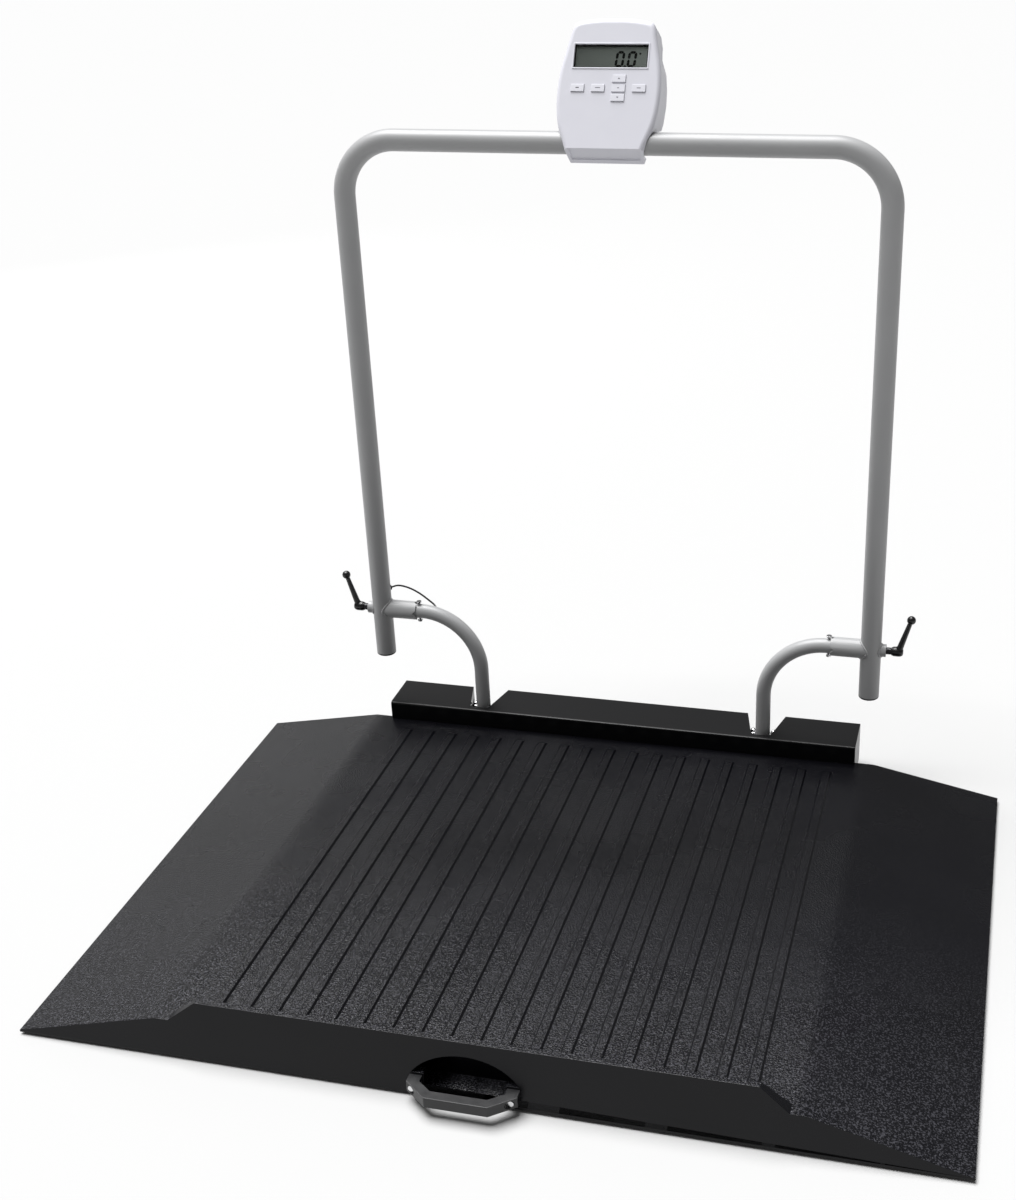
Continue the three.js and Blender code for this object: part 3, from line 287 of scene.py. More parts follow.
def deckFinish():
    # Vacuum-formed plastic: pebbled on what faces up, smoother on the walls.
    finish = Finish("deckPlastic", **{"Specular IOR Level": 0.24})
    tone = finish.noise(3.2, 3.0)
    plain = finish.blend(
        finish.spread(tone, 0.35, 0.65), (0.0014, 0.0014, 0.0022, 1), (0.0024, 0.0024, 0.0036, 1),
    )
    up = upward(finish)
    flatTop = finish.spread(up, 0.82, 0.96)
    # Painted glints: specks of the grain on upward faces are made paler, most of all towards the front,
    # where the key light catches them.
    forward = finish.add("ShaderNodeSeparateXYZ", None, {0: finish.place()}, output=1)
    frontGlint = finish.spread(forward, 0.0, -0.42) * flatTop
    glintSpecks = finish.spread(finish.noise(430, 1.0, 0.6), 0.50, 0.66)
    finish.feed("Base Color", finish.blend(glintSpecks * frontGlint, plain, (0.036, 0.036, 0.042, 1)))
    pebble = finish.cells(430, 0.35)
    fine = finish.noise(1100, 2.0)
    cloud = finish.noise(9.0, 2.0)
    finish.feed("Roughness", finish.spread(cloud, 0.3, 0.7, 0.26, 0.34) - flatTop * 0.03)
    finish.bump((pebble + fine * 0.4) * (0.06 + 0.94 * flatTop), 0.7, 0.6)
    return finish.material


def housingFinish():
    finish = Finish("housingPlastic", **{
        "Base Color": (0.0022, 0.0022, 0.0026, 1), "Specular IOR Level": 0.22,
    })
    up = upward(finish)
    top = finish.spread(up, 0.7, 0.95)
    finish.feed("Roughness", 0.30 + top * 0.10)
    finish.bump(finish.noise(900, 2.0) * (0.2 + 0.8 * top) + finish.noise(60, 1.0) * 0.3, 0.25, 0.15)
    return finish.material


def paintFinish():
    # Powder coat with its faint orange-peel.
    finish = Finish("railPaint", **{"Coat Weight": 0.10, "Coat Roughness": 0.25})
    finish.feed("Base Color", finish.blend(
        finish.noise(14, 2.0), (0.300, 0.302, 0.306, 1), (0.330, 0.332, 0.336, 1),
    ))
    finish.feed("Roughness", finish.spread(finish.noise(30, 2.0), 0.3, 0.7, 0.40, 0.48))
    finish.bump(finish.noise(420, 2.0), 0.22, 0.12)
    return finish.material


def headFinish(name, low, high):
    finish = Finish(name, **{"Specular IOR Level": 0.5})
    finish.feed("Base Color", finish.blend(finish.noise(20, 2.0), low, high))
    finish.feed("Roughness", finish.spread(finish.noise(60, 1.0), 0.3, 0.7, 0.36, 0.42))
    finish.bump(finish.noise(1600, 2.0), 0.12, 0.05)
    return finish.material


def plainFinish(name, colour, roughness, spreadBy, grainScale, grainDepth, metallic=0.0, gloss=0.5):
    # A mottled roughness and a fine grain, for the small mouldings and metal parts.
    finish = Finish(name, **{"Metallic": metallic, "Specular IOR Level": gloss})
    dim = tuple(channel * 0.82 for channel in colour) + (1,)
    finish.feed("Base Color", finish.blend(finish.noise(45, 2.0), dim, tuple(colour) + (1,)))
    finish.feed("Roughness", finish.spread(
        finish.noise(80, 2.0), 0.3, 0.7, roughness - spreadBy, roughness + spreadBy,
    ))
    finish.bump(finish.noise(grainScale, 2.0), 0.25, grainDepth)
    return finish.material


def brushedFinish():
    finish = Finish("brushedSteel", **{"Metallic": 1.0})
    lines = finish.noise(260, 3.0, 0.6, (0.06, 1, 1))
    finish.feed("Base Color", finish.blend(lines, (0.46, 0.465, 0.47, 1), (0.60, 0.605, 0.61, 1)))
    finish.feed("Roughness", finish.spread(lines, 0.3, 0.7, 0.28, 0.42))
    finish.bump(lines, 0.15, 0.05)
    return finish.material


def screenFinish():
    # The liquid crystal cell: grey-green, with a painted sheen that makes it lighter towards the right.
    finish = Finish("displayCell", **{"Specular IOR Level": 0.15})
    sheenAcross = finish.add("ShaderNodeSeparateXYZ", None, {0: finish.place()})
    finish.feed("Base Color", finish.blend(
        finish.spread(sheenAcross, -0.05, 0.05), (0.075, 0.086, 0.078, 1), (0.125, 0.142, 0.130, 1),
    ))
    finish.feed("Roughness", finish.spread(finish.noise(40, 1.0), 0.3, 0.7, 0.30, 0.36))
    finish.bump(finish.noise(2000, 1.0), 0.05, 0.02)
    return finish.material


def windowFinish():
    # A clear pane: what shows of it is its gloss.
    finish = Finish("displayPane", **{"Base Color": (0.02, 0.02, 0.02, 1), "Alpha": 0.07})
    finish.feed("Roughness", finish.spread(finish.noise(40, 1.0), 0.3, 0.7, 0.05, 0.10))
    finish.material.blend_method = "BLEND"
    return finish.material


deckPlastic = deckFinish()
housingPlastic = housingFinish()
railPaint = paintFinish()
headPlastic = headFinish("headPlastic", (0.570, 0.570, 0.620, 1), (0.600, 0.600, 0.650, 1))
keyPlastic = headFinish("keyPlastic", (0.620, 0.620, 0.670, 1), (0.650, 0.650, 0.700, 1))
handlePlastic = plainFinish("handlePlastic", (0.006, 0.006, 0.007), 0.36, 0.04, 1200, 0.08)
leverPlastic = plainFinish("leverPlastic", (0.0025, 0.0025, 0.003), 0.30, 0.05, 900, 0.05)
rubberBlack = plainFinish("rubberBlack", (0.008, 0.008, 0.008), 0.72, 0.08, 700, 0.15)
cableBlack = plainFinish("cableBlack", (0.004, 0.004, 0.004), 0.42, 0.05, 900, 0.04)
platedZinc = plainFinish("platedZinc", (0.80, 0.80, 0.81), 0.16, 0.05, 500, 0.02, 1.0)
boardGreen = plainFinish("boardGreen", (0.02, 0.12, 0.05), 0.45, 0.05, 600, 0.05)
markGrey = plainFinish("markGrey", (0.12, 0.12, 0.14), 0.5, 0.05, 800, 0.02)
digitBlack = plainFinish("digitBlack", (0.002, 0.0025, 0.002), 0.4, 0.05, 800, 0.01, 0.0, 0.04)
brushedSteel = brushedFinish()
blackOxide = plainFinish("blackOxide", (0.02, 0.02, 0.022), 0.35, 0.05, 500, 0.02, 0.6)
displayCell = screenFinish()
displayPane = windowFinish()
print("finishes made")


# Camera, floor and light

# The camera's and the lights' places and sizes are in metres, and their angles in degrees.
viewSetup = {
    "position": (0.538, -1.8187, 1.337),
    "turn": 14.85,
    "down": 25.73,
    "roll": -1.8,
    "lens": 49.8,
    "sensor": 36,
    "shiftX": -0.07008,
    "shiftY": 0.009,
}


def makeCamera():
    turn, down, roll = (math.radians(viewSetup[key]) for key in ("turn", "down", "roll"))
    forward = Vector((
        -math.sin(turn) * math.cos(down), math.cos(turn) * math.cos(down), -math.sin(down),
    ))
    level = Vector((math.cos(turn), math.sin(turn), 0))
    above = level.cross(forward)
    right = math.cos(roll) * level + math.sin(roll) * above
    top = math.cos(roll) * above - math.sin(roll) * level
    data = bpy.data.cameras.new("camera")
    camera = bpy.data.objects.new("camera", data)
    bpy.context.scene.collection.objects.link(camera)
    camera.matrix_world = Matrix((
        (right.x, top.x, -forward.x, viewSetup["position"][0]),
        (right.y, top.y, -forward.y, viewSetup["position"][1]),
        (right.z, top.z, -forward.z, viewSetup["position"][2]),
        (0, 0, 0, 1),
    ))
    data.sensor_width = viewSetup["sensor"]
    data.lens = viewSetup["lens"]
    data.shift_x = viewSetup["shiftX"]
    data.shift_y = viewSetup["shiftY"]
    data.clip_start = 0.05
    data.clip_end = 60
    bpy.context.scene.camera = camera


makeCamera()

# The signal cable's route, across from the middle, back from the fold line and up, as in the CAD.
cableRoute = [
    (-365.484, 12.516, 256),
    (-357, 19.5, 256.3),
    (-342, 25, 251),
    (-325, 26.5, 242),
    (-310, 25.2, 232),
    (-301, 23, 226.3),
    (-296, 17, 223.4),
    (-296, 14, 223.2),
    (-296, 9.5, 223.2),
]
cableDiameter = 2.8


def smoothRoute(points, between):
    # A centripetal curve through the points, the same as the tube in the CAD.
    ends = [points[0] * 2 - points[1]] + points + [points[-1] * 2 - points[-2]]
    route = []
    for a, b, c, d in zip(ends, ends[1:], ends[2:], ends[3:]):
        gaps = [(q - p).length ** 0.5 for p, q in ((a, b), (b, c), (c, d))]
        leave = ((b - a) / gaps[0] - (c - a) / (gaps[0] + gaps[1]) + (c - b) / gaps[1]) * gaps[1]
        reach = ((c - b) / gaps[1] - (d - b) / (gaps[1] + gaps[2]) + (d - c) / gaps[2]) * gaps[1]
        for i in range(between):
            t = i / between
            route.append(
                b * (2 * t**3 - 3 * t**2 + 1) + leave * (t**3 - 2 * t**2 + t)
                + c * (3 * t**2 - 2 * t**3) + reach * (t**3 - t**2)
            )
    return route + [points[-1]]


def makeCable():
    points = [Vector((x * mm, foldPoint.y + y * mm, z * mm)) for x, y, z in cableRoute]
    route = smoothRoute(points, 4)
    curve = bpy.data.curves.new("signalCable", "CURVE")
    curve.dimensions = "3D"
    curve.bevel_depth = cableDiameter / 2 * mm
    curve.bevel_resolution = 4
    curve.use_fill_caps = True
    line = curve.splines.new("POLY")
    line.points.add(len(route) - 1)
    for spot, point in zip(line.points, route):
        spot.co = (*point, 1)
    line.use_smooth = True
    cable = bpy.data.objects.new("signalCable", curve)
    bpy.context.scene.collection.objects.link(cable)
    finishPiece(cable, "platform", "rubber", cableBlack, "signal_cable")
    length = sum((q - p).length for p, q in zip(route, route[1:]))
    print("cable length in mm", round(length / mm, 1))


makeCable()


studio = {
    "floorSize": 60,
    "floorTone": 0.42,
    "worldStrength": 0.22,
    "keyStrength": 7.0,
    "keyFrom": (-0.30, 0.12, 1.0),
    "keySpread": 46,
    "stripPower": 7,
    "stripPlace": (-2.7, 2.7, 1.15),
    "stripSize": (2.0, 1.1),
    "stripTarget": (-0.45, 0, 0.03),
}


def makeFloor():
    clearPick()
    bpy.ops.mesh.primitive_plane_add(size=studio["floorSize"], location=(0, 0, -0.5 * mm))
    floor = bpy.context.object
    floor.name = "floor"
    tone = studio["floorTone"]
    finish = Finish("floorPale", **{"Base Color": (tone, tone, tone, 1), "Roughness": 0.95})
    finish.shader.inputs["Specular IOR Level"].default_value = 0.1
    floor.data.materials.append(finish.material)


def makeKey():
    # A broad even light from above, so that the floor is as pale near as far.
    data = bpy.data.lights.new("key", "SUN")
    data.energy = studio["keyStrength"]
    data.angle = math.radians(studio["keySpread"])
    key = bpy.data.objects.new("key", data)
    bpy.context.scene.collection.objects.link(key)
    key.rotation_euler = Vector(studio["keyFrom"]).to_track_quat("Z", "Y").to_euler()


def makeStrip():
    # A low strip behind the left ramp, which gives the dark plastic its sheen.
    data = bpy.data.lights.new("strip", "AREA")
    data.shape = "RECTANGLE"
    data.size, data.size_y = studio["stripSize"]
    data.energy = studio["stripPower"]
    strip = bpy.data.objects.new("strip", data)
    bpy.context.scene.collection.objects.link(strip)
    strip.location = studio["stripPlace"]
    aim = Vector(studio["stripTarget"]) - strip.location
    strip.rotation_euler = aim.to_track_quat("-Z", "Y").to_euler()


def makeStudio():
    makeFloor()
    makeKey()
    makeStrip()
    world = bpy.data.worlds.new("studio")
    bpy.context.scene.world = world
    world.use_nodes = True
    world.node_tree.nodes["Background"].inputs["Color"].default_value = (1, 1, 1, 1)
    world.node_tree.nodes["Background"].inputs["Strength"].default_value = studio["worldStrength"]
    bpy.context.scene.view_settings.view_transform = "Standard"
    bpy.context.scene.view_settings.look = "None"


makeStudio()
print("camera, cable, floor and light made")


# Platform

platformEdges = {"kerb": 2.6, "kerbAngle": 50, "rib": 0.8, "ribAngle": 24, "segments": 3}


def makePlatform():
    deck = copyNode("platform_deck", "platformDeck", 0.3)
    roundEdges(deck, platformEdges["kerb"], platformEdges["segments"], platformEdges["kerbAngle"])
    roundEdges(deck, platformEdges["rib"], platformEdges["segments"], platformEdges["ribAngle"])
    finishPiece(deck, "platform", "deck_plastic", deckPlastic, "platform_deck")


def makeHousing():
    refine("rear_housing", "rearHousing", "platform", "housing_plastic", housingPlastic, 1.2, 4, 30)


def makeHandle():
    refine("front_handle", "frontHandle", "platform", "handle_plastic", handlePlastic, 2.2, 4, 25)


makePlatform()
makeHousing()
makeHandle()
print("platform, housing and handle made")


# Handrail and posts: a round section carried along straight runs and bends

tubeSides = 48


def startTube(name, radius, location):
    clearPick()
    bpy.ops.mesh.primitive_circle_add(
        vertices=tubeSides, radius=radius, fill_type="NGON", location=location,
    )
    piece = bpy.context.object
    piece.name = name
    bpy.ops.object.mode_set(mode="EDIT")
    bpy.ops.mesh.select_all(action="SELECT")
    return piece


def runStraight(step):
    bpy.ops.mesh.extrude_region_move(TRANSFORM_OT_translate={"value": step})


def runBend(centre, angle, steps):
    bpy.ops.mesh.spin(steps=steps, angle=angle, center=centre, axis=(0, 1, 0))


def endTube(piece):
    bpy.ops.mesh.select_all(action="SELECT")
    bpy.ops.mesh.remove_doubles(threshold=mergeGap)
    bpy.ops.mesh.normals_make_consistent(inside=False)
    leaveEdit()
    settle(piece)
    smooth(piece, 40)


railSizes = {"bend": 78, "bendSteps": 28}
postSizes = {"bend": 92, "bendSteps": 28, "foot": 3}


def makeRail():
    low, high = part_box("handrail_tube")
    radius = (high.y - low.y) / 2
    bend = railSizes["bend"] * mm
    legX, topZ = high.x - radius, high.z - radius
    rail = startTube("handrail", radius, (-legX, foldPoint.y, low.z))
    runStraight((0, 0, topZ - bend - low.z))
    runBend((bend - legX, foldPoint.y, topZ - bend), -math.pi / 2, railSizes["bendSteps"])
    runStraight((2 * (legX - bend), 0, 0))
    runBend((legX - bend, foldPoint.y, topZ - bend), -math.pi / 2, railSizes["bendSteps"])
    runStraight((0, 0, low.z - topZ + bend))
    endTube(rail)
    finishPiece(rail, "handrail", "rail_paint", railPaint, "handrail_tube")


def makePost(name, side):
    low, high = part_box("post_" + name)
    radius = (high.y - low.y) / 2
    bend = postSizes["bend"] * mm
    topZ = high.z - radius
    near = side * (min(abs(low.x), abs(high.x)) + radius)
    far = side * max(abs(low.x), abs(high.x))
    post = startTube("post_" + name + "_tube", radius, (near, foldPoint.y, low.z))
    runStraight((0, 0, topZ - bend - low.z))
    runBend((near + side * bend, foldPoint.y, topZ - bend), -side * math.pi / 2, postSizes["bendSteps"])
    runStraight((far - near - side * bend, 0, 0))
    endTube(post)
    finishPiece(post, "platform", "rail_paint", railPaint, "post_" + name)


makeRail()
for name, side in sides.items():
    makePost(name, side)
print("handrail and posts made")


# Fold joint

weld = {
    "radius": 1.7, "turns": 72, "ripple": 0.22, "ripples": 17, "collarRing": 14.3, "bossRing": 9.5,
}
leverSizes = {
    "hub": [
        (0, 17), (3.4, 17), (5.2, 16.2), (6.6, 14.2), (7.2, 11.5), (7.2, 4), (6.8, 2.2), (6.2, 1.6),
        (6.2, 0.2), (4.9, 0), (4.9, 8), (0, 8),
    ],
    "rootRadius": 4.8,
    "tipRadius": 3.2,
    "rootOut": 11,
    "rootUp": 3,
    "elbow": 5.4,
    "elbowUp": 1.2,
    "lean": 15,
    "reach": 52,
    "ball": 6.4,
    "voxel": 0.45,
}


def weldBead(name, side, radius, inward):
    # A ring, slid along the leg's wall so that it follows the seam between the two tubes.
    low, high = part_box("handrail_tube")
    legRadius = (high.y - low.y) / 2
    legX = high.x - legRadius
    clearPick()
    bpy.ops.mesh.primitive_torus_add(
        major_segments=weld["turns"], minor_segments=10, major_radius=radius,
        minor_radius=weld["radius"] * mm, rotation=(0, math.pi / 2, 0),
    )
    bead = bpy.context.object
    bead.name = name
    settle(bead)
    for vertex in bead.data.vertices:
        angle = math.atan2(vertex.co.z, vertex.co.y)
        away = math.sqrt(max(legRadius**2 - (radius * math.cos(angle)) ** 2, 0))
        ripple = weld["ripple"] * mm * math.sin(angle * weld["ripples"])
        vertex.co += Vector((side * (legX - inward * (away + ripple)), foldPoint.y, foldPoint.z))
    smooth(bead, 60)
    finishPiece(bead, "handrail", "rail_paint", railPaint)


def makeLever(name, side):
    # Hub, elbow, arm and ball are joined and made one skin.
    sizes = leverSizes
    low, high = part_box("clamp_lever_" + name)
    start = min(abs(low.x), abs(high.x))
    centre = Vector((0, foldPoint.y, foldPoint.z))
    hub = turnPiece("clampLever_" + name, sizes["hub"])
    placeAt(hub, centre + Vector((side * start, 0, 0)), (0, side * math.pi / 2, 0))
    root = centre + Vector((side * (start + sizes["rootOut"] * mm), 0, sizes["rootUp"] * mm))
    ballOut = sizes["rootOut"] + sizes["lean"]
    ball = centre + Vector((side * (start + ballOut * mm), 0, sizes["reach"] * mm))
    run = ball - root
    clearPick()
    bpy.ops.mesh.primitive_cone_add(
        vertices=32, radius1=sizes["rootRadius"] * mm, radius2=sizes["tipRadius"] * mm,
        depth=run.length, location=(root + ball) / 2,
        rotation=run.to_track_quat("Z", "Y").to_euler(),
    )
    arm = bpy.context.object
    clearPick()
    bpy.ops.mesh.primitive_uv_sphere_add(
        segments=36, ring_count=24, radius=sizes["ball"] * mm, location=ball,
    )
    knob = bpy.context.object
    clearPick()
    bpy.ops.mesh.primitive_uv_sphere_add(
        segments=32, ring_count=20, radius=sizes["elbow"] * mm,
        location=root + Vector((0, 0, sizes["elbowUp"] * mm)),
    )
    elbow = bpy.context.object
    lever = joinPieces(hub, arm, knob, elbow)
    addModifier(lever, "REMESH", mode="VOXEL", voxel_size=sizes["voxel"] * mm)
    addModifier(lever, "SMOOTH", iterations=4, factor=0.5)
    smooth(lever, 80)
    finishPiece(lever, "lever_" + name, "lever_plastic", leverPlastic, "clamp_lever_" + name)


def makeJoint(name, side):
    refine("collar_" + name, "collar_" + name + "_sleeve", "handrail", "rail_paint", railPaint, 0.5)
    refine("clamp_boss_" + name, "clampBoss_" + name, "handrail", "rail_paint", railPaint, 0.6)
    refine("clamp_stud_" + name, "clampStud_" + name, "clamp_" + name, "steel", blackOxide, 0.3)
    refine("leg_cap_" + name, "legCap_" + name, "handrail", "lever_plastic", leverPlastic, 0.5)
    refine("cross_bolt_" + name, "crossBolt_" + name, "platform", "zinc", platedZinc, 0.5)
    refine("post_flange_" + name, "postFlange_" + name, "platform", "steel", brushedSteel, 0.8)
    weldBead("collarWeld_" + name, side, weld["collarRing"] * mm, 1)
    weldBead("bossWeld_" + name, side, weld["bossRing"] * mm, -1)
    makeLever(name, side)


for name, side in sides.items():
    makeJoint(name, side)
print("fold joint made")


# Cap nuts, screws and grommets

nutHeight = 9
nutProfile = [
    (0, nutHeight), (1.6, 8.8), (3.0, 8.1), (4.0, 6.9), (4.4, 5.4), (4.5, 4.4), (4.7, 4.2), (5.5, 3.9),
    (5.5, 0.3), (5.2, 0), (0, 0),
]


def makeNut(node):
    low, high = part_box(node)
    nut = turnPiece("capNut" + node.removeprefix("flange_nut"), nutProfile)
    placeAt(nut, ((low.x + high.x) / 2, (low.y + high.y) / 2, high.z - nutHeight * mm))
    finishPiece(nut, "platform", "zinc", platedZinc, node)


def makeHardware():
    for name in sides:
        for end in ("a", "b"):
            makeNut("flange_nut_" + name + "_" + end)
        refine("front_handle_screw_" + name, "handleScrew_" + name, "platform", "zinc", platedZinc, 0.6)
        refine("tube_clamp_screw_" + name, "clampScrew_" + name, "head", "zinc", platedZinc, 0.4)
        refine("wheel_axle_" + name, "wheelAxle_" + name, "platform", "zinc", platedZinc, 0.5)
        wheel = "wheel_" + name
        refine("wheel_hub_" + name, "wheelHub_" + name, wheel, "handle_plastic", handlePlastic, 0.7)
        refine("wheel_tyre_" + name, "wheelTyre_" + name, wheel, "tyre_rubber", rubberBlack, 1.2)
        for end in ("front", "rear"):
            place = end + "_" + name
            refine("load_cell_" + place, "loadCell_" + place, "platform", "steel", brushedSteel, 0.6)
            refine("foot_" + place, "foot_" + place + "_pad", "platform", "rubber", rubberBlack, 0.8)
    refine("rear_beam", "rearBeam", "platform", "steel", brushedSteel, 0.8)
    refine("cable_grommet_leg", "grommetLeg", "handrail", "rubber", rubberBlack, 0.3)
    refine("cable_grommet_post", "grommetPost", "platform", "rubber", rubberBlack, 0.3)


makeHardware()
print("hardware made")


# Display head. Its own frame has the tube's axis at the origin and the face towards -Y.

headSizes = {
    "face": 19.5,
    "shellEnd": 50,
    "hollowEnd": 60,
    "split": 4.2,
    "splitBottom": -5,
    "wall": 2.6,
    "rounding": 6.0,
    "roundSteps": 7,
    "middle": 62,
    "reach": 70,
    "shoulder": 154,
    "wide": 90,
    "deep": 60,
    "tall": 200,
    "slot": 16,
    "wrap": 13,
    "chin": -13,
    "chinFall": 0.3077,
    "recess": (47, 2.0, 26, 1.6),
    "recessBottom": -1,
    "hollowBottom": 19,
    "keyProud": 1.4,
    "keyGap": 0.3,
    "keyFlange": (1.2, 1.1),
    "markProud": 0.05,
    "moduleFront": 16.6,
    "bezelWidth": 2.2,
    "bezelProud": 0.8,
    "bezelSunk": 1.2,
    "maskWidth": 1.3,
    "maskTopShade": 1.6,
    "maskFront": 17.1,
    "maskBack": 16.65,
}
# One side of the head's outline, from below the tube to the middle of the top.
headOutline = [
    (49.5, -26), (53.5, -13), (58.6, 0), (64.4, 16), (68.4, 36), (70, 58), (69.3, 80), (66.6, 100),
    (62.6, 118), (58.6, 136), (55.4, 150), (52.6, 155), (47, 157.6), (32, 160.2), (16, 161.6),
]
digitSizes = {
    "height": 18.4,
    "width": 8.6,
    "stroke": 3.5,
    "slant": 0.10,
    "gap": 0.5,
    "base": 97.3,
    "places": (6.6, 22.8),
    "dot": (19.2, 97.2),
    "star": (38.6, 114.0),
    "starReach": 1.5,
    "starStroke": 0.22,
    "proud": 0.15,
}


def headPlace(piece):
    piece.data.transform(headTurn)
    piece.data.update()


def flatBar(name, corners, y, depth):
    # A closed outline in the head's X-Z plane, given its thickness towards the front.
    piece = profileLine(name, [(x, y, z) for x, z in corners])
    bpy.ops.mesh.select_all(action="SELECT")
    bpy.ops.mesh.edge_face_add()
    bpy.ops.mesh.select_all(action="SELECT")
    bpy.ops.mesh.extrude_region_move(TRANSFORM_OT_translate={"value": (0, -depth * mm, 0)})
    bpy.ops.mesh.select_all(action="SELECT")
    bpy.ops.mesh.normals_make_consistent(inside=False)
    leaveEdit()
    return piece


def headBox(node):
    # A node's corners in the head's own frame, in millimetres.
    turnBack = headTurn.inverted()
    points = [turnBack @ vertex.co for vertex in frame["nodes"][node].data.vertices]
    low = [min(point[axis] for point in points) / mm for axis in range(3)]
    high = [max(point[axis] for point in points) / mm for axis in range(3)]
    return low, high


def block(name, x0, x1, y0, y1, z0, z1):
    clearPick()
    bpy.ops.mesh.primitive_cube_add(
        size=mm, location=((x0 + x1) / 2 * mm, (y0 + y1) / 2 * mm, (z0 + z1) / 2 * mm),
        scale=(x1 - x0, y1 - y0, z1 - z0),
    )
    piece = bpy.context.object
    piece.name = name
    settle(piece)
    return piece


def cut(piece, *cutters):
    for cutter in cutters:
        addModifier(piece, "BOOLEAN", object=cutter, operation="DIFFERENCE", solver="EXACT")
        bpy.data.objects.remove(cutter)


def headCorners(inset):
    # The whole outline, smoothed and mirrored, and drawn in by the inset at its sides and top.
    top = headSizes["shoulder"]
    half = [Vector((x - inset, 0, z - (inset if z > top else 0))) for x, z in headOutline]
    curve = smoothRoute(half, 4)
    mirrored = [Vector((-point.x, 0, point.z)) for point in reversed(curve)]
    return [(point.x, point.z) for point in curve + mirrored]


def headBlank(name, inset, back, front):
    # The head's outline, carried from one depth to another.
    return flatBar(name, headCorners(inset), back, back + front)


def roundedBlank(name, back, front):
    # The same outline, drawn in over its last millimetres so that the front edge is round.
    middle, reach, rounding = headSizes["middle"], headSizes["reach"], headSizes["rounding"]
    steps = headSizes["roundSteps"]
    piece = profileLine(name, [(x, back, z) for x, z in headCorners(0)])
    bpy.ops.mesh.select_all(action="SELECT")
    bpy.ops.mesh.edge_face_add()
    straight = back + front - rounding
    bpy.ops.mesh.extrude_region_move(TRANSFORM_OT_translate={"value": (0, -straight * mm, 0)})
    depth, size = 0.0, 1.0
    for step in range(1, steps + 1):
        angle = step / steps * math.pi / 2
        deeper = rounding * math.sin(angle)
        smaller = 1 - rounding * (1 - math.cos(angle)) / reach
        bpy.ops.mesh.extrude_region_move(
            TRANSFORM_OT_translate={"value": (0, (depth - deeper) * mm, 0)},
        )
        bpy.ops.transform.resize(
            value=(smaller / size, 1, smaller / size), center_override=(0, 0, middle * mm),
        )
        depth, size = deeper, smaller
    bpy.ops.mesh.select_all(action="SELECT")
    bpy.ops.mesh.normals_make_consistent(inside=False)
    leaveEdit()
    return piece


def darkBar(corners):
    return flatBar("bar", corners, -headSizes["moduleFront"], digitSizes["proud"])


def segment(x, z, along, length, slant):
    # One bar of a digit, pointed at both ends and leaning with the rest.
    half, tip = length / 2, digitSizes["stroke"] / 2
    if along == "x":
        shape = [(-half, 0), (-half + tip, tip), (half - tip, tip), (half, 0), (half - tip, -tip),
                 (-half + tip, -tip)]
    else:
        shape = [(0, -half), (tip, -half + tip), (tip, half - tip), (0, half), (-tip, half - tip),
                 (-tip, -half + tip)]
    base = digitSizes["base"]
    return darkBar([(x + u + slant * (z + v - base), z + v) for u, v in shape])


def makeDigits():
    # Two noughts of six bars each, a point between them and a small star.
    sizes = digitSizes
    width, height, base = sizes["width"], sizes["height"], sizes["base"]
    gap, slant = sizes["gap"], sizes["slant"]
    parts = []
    for spot in sizes["places"]:
        for level in (0, 1):
            parts.append(segment(spot + width / 2, base + level * height, "x", width - gap, slant))
            middle = base + height * (0.25 + level / 2)
            for edge in (0, 1):
                parts.append(segment(spot + edge * width, middle, "z", height / 2 - gap, slant))
    dotX, dotZ = sizes["dot"]
    parts.append(segment(dotX, dotZ, "x", sizes["stroke"] * 1.1, 0))
    starX, starZ = sizes["star"]
    for turn in range(3):
        angle = turn * math.pi / 3
        along = Vector((math.cos(angle), math.sin(angle))) * sizes["starReach"]
        wide = Vector((-along.y, along.x)) * sizes["starStroke"]
        corners = [along + wide, along - wide, -along - wide, -along + wide]
        parts.append(darkBar([(starX + u, starZ + v) for u, v in corners]))
    digits = joinPieces(parts[0], *parts[1:])
    digits.name = "displayDigits"
    headPlace(digits)
    finishPiece(digits, "head", "lcd", digitBlack)


keyMarks = {
    "zero": [(-2.2, 0.9), (2.2, 0.9), (2.2, -0.5), (-2.2, -0.5)],
    "units": [(-3.4, 0.7), (3.4, 0.7), (3.4, -0.3), (-3.4, -0.3)],
    "up": [(-1.6, -0.8), (0, 1.4), (1.6, -0.8)],
    "enter": [(-1.2, 0.6), (1.2, 0.6), (1.2, -0.4), (-1.2, -0.4)],
    "down": [(-1.6, 1.0), (1.6, 1.0), (0, -1.2)],
    "power": [(-2.6, 0.7), (2.6, 0.7), (2.6, -0.3), (-2.6, -0.3)],
}


def makeKeys():
    face = -headSizes["face"] - headSizes["keyProud"]
    for name, corners in keyMarks.items():
        key, button = "key_" + name, "button_" + name
        refine(key, key + "_cap", button, "key_plastic", keyPlastic, 1.3, 6)
        x, z = keySpot(name)[0]
        outline = [(x + u, z + v) for u, v in corners]
        mark = flatBar("keyMark_" + name, outline, face, headSizes["markProud"])
        headPlace(mark)
        finishPiece(mark, button, "key_plastic", markGrey)


def openFront(piece, x0, x1, z0, z1):
    # A hole right through the front, with the keys' clearance all round.
    edge = headSizes["keyGap"]
    cut(piece, block("hole", x0 - edge, x1 + edge, -headSizes["deep"], 0, z0 - edge, z1 + edge))


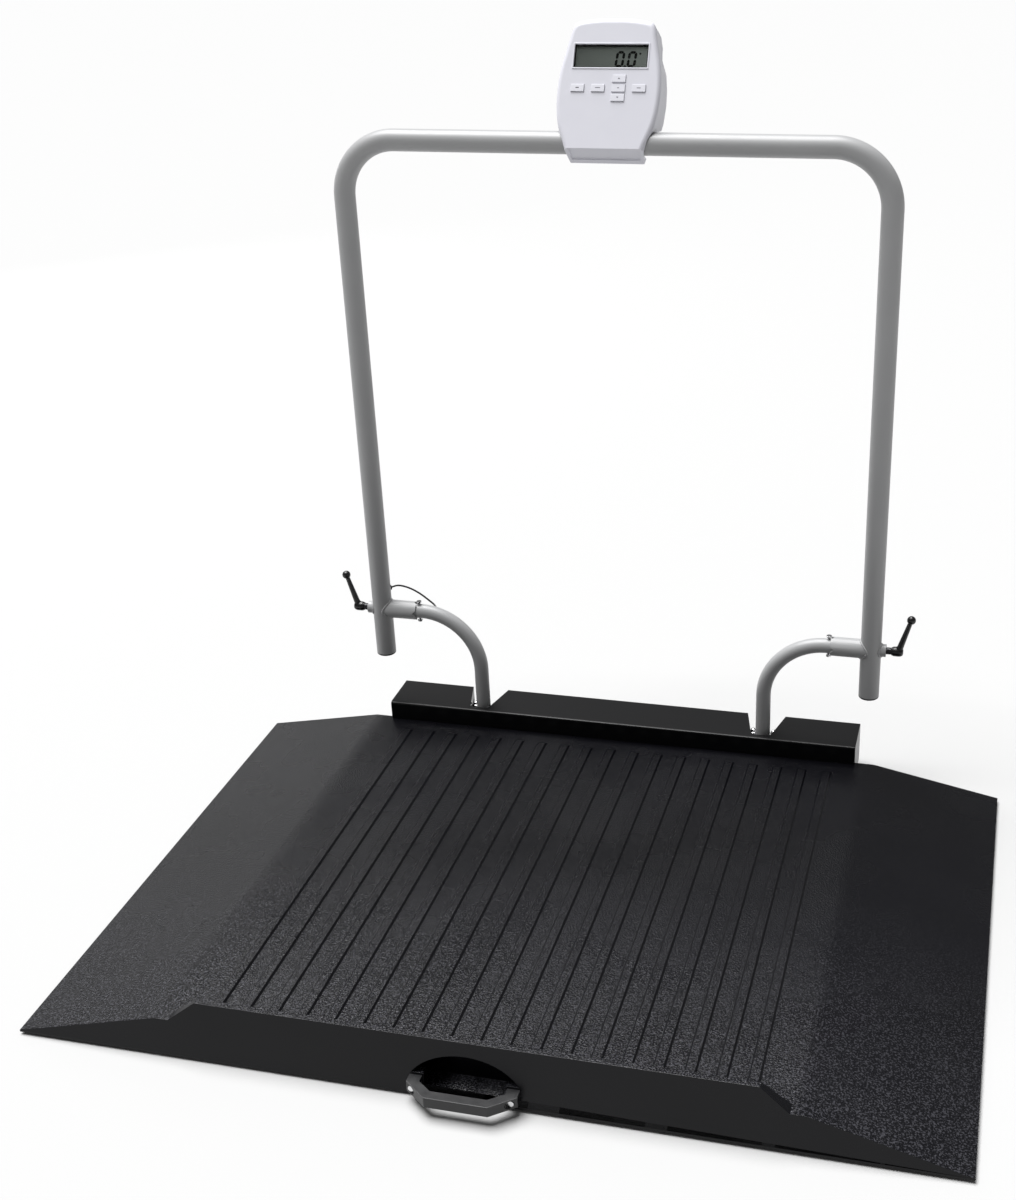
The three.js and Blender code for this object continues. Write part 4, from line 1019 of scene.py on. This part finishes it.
def makeFrontShell():
    # A solid blank, less its hollow, the tube's slot, all that lies behind the split, and the chin.
    sizes = headSizes
    face, slot = sizes["face"], sizes["slot"]
    wide, deep, tall = sizes["wide"], sizes["deep"], sizes["tall"]
    shell = roundedBlank("headFront", sizes["shellEnd"], face)
    hollow = headBlank("hollow", sizes["wall"], sizes["hollowEnd"], face - sizes["wall"])
    cut(hollow, block("floor", -wide, wide, -deep, wide, -wide, sizes["hollowBottom"]))
    clearPick()
    bpy.ops.mesh.primitive_cylinder_add(
        vertices=64, radius=slot * mm, depth=2 * wide * mm, rotation=(0, math.pi / 2, 0),
    )
    barrel = bpy.context.object
    settle(barrel)
    slotBack = block("slotBack", -wide, wide, 0, deep, -slot, slot)
    behind = block("behind", -wide, wide, sizes["split"], deep, sizes["splitBottom"], tall)
    wrap = block("wrap", -wide, wide, sizes["wrap"], deep, -deep, tall)
    lean = Matrix.Rotation(-math.atan(sizes["chinFall"]), 4, "X")
    drop = Matrix.Translation((0, -face * mm, sizes["chin"] * mm))
    below = block("below", -wide, wide, -deep, deep, -deep, 0)
    # The sloping chin is a shallow recess within a raised rim.
    reach, front, back, depth = sizes["recess"]
    recess = block("recess", -reach, reach, front, back, sizes["recessBottom"], depth)
    roundEdges(recess, depth / 2, 3, 40)
    for cutter in (below, recess):
        cutter.data.transform(drop @ lean)
    cut(shell, hollow, barrel, slotBack, behind, wrap, below, recess)
    low, high = headBox("lcd_window")
    openFront(shell, low[0], high[0], low[2], high[2])
    for name in keyMarks:
        (x, z), (halfX, halfZ) = keySpot(name)
        openFront(shell, x - halfX, x + halfX, z - halfZ, z + halfZ)
    smooth(shell, 30)
    addModifier(shell, "WEIGHTED_NORMAL", mode="FACE_AREA", weight=100, keep_sharp=True)
    headPlace(shell)
    finishPiece(shell, "head", "head_plastic", headPlastic, "head_front_shell")


def keySpot(name):
    # The middle of a key's cap and its half sizes: its hidden flange is a little larger.
    low, high = headBox("key_" + name)
    flangeX, flangeZ = headSizes["keyFlange"]
    middle = ((low[0] + high[0]) / 2, (low[2] + high[2]) / 2)
    return middle, ((high[0] - low[0]) / 2 - flangeX, (high[2] - low[2]) / 2 - flangeZ)


def makeBezel():
    # A raised frame round the window, and a black mask behind it whose extra width along its top is a
    # painted shadow of the bezel.
    sizes = headSizes
    low, high = headBox("lcd_window")
    wide, proud, face = sizes["bezelWidth"], sizes["bezelProud"], sizes["face"]
    bezel = block(
        "displayBezel", low[0] - wide, high[0] + wide, -face - proud, -face + sizes["bezelSunk"],
        low[2] - wide, high[2] + wide,
    )
    openFront(bezel, low[0], high[0], low[2], high[2])
    roundEdges(bezel, 0.6, 4, 40)
    headPlace(bezel)
    finishPiece(bezel, "head", "head_plastic", headPlastic)
    mask = block(
        "displayMask", low[0], high[0], -sizes["maskFront"], -sizes["maskBack"], low[2], high[2],
    )
    inner, deep = sizes["maskWidth"], sizes["deep"]
    # The mask's wider top edge is painted shadow from the bezel; its other edges are the real black
    # frame.
    cut(mask, block(
        "hole", low[0] + inner, high[0] - inner, -deep, 0,
        low[2] + inner, high[2] - inner * sizes["maskTopShade"],
    ))
    headPlace(mask)
    finishPiece(mask, "head", "lcd", digitBlack)


def makeHead():
    makeFrontShell()
    makeBezel()
    refine("head_rear_shell", "headRear", "head", "head_plastic", headPlastic, 1.1, 4, 32)
    refine("head_tube_clamp", "headClamp", "head", "head_plastic", headPlastic, 0.8, 3, 32)
    refine("battery_door", "batteryDoor", "battery_cover", "head_plastic", headPlastic, 0.6, 3)
    refine("lcd_window", "displayWindow", "head", "lens", displayPane, 0.3, 2)
    refine("lcd_module", "displayModule", "head", "lcd", displayCell, 0.3, 2)
    refine("main_board", "mainBoard", "head", "board", boardGreen, 0.2, 2)
    makeDigits()
    makeKeys()


makeHead()
print("display head made")
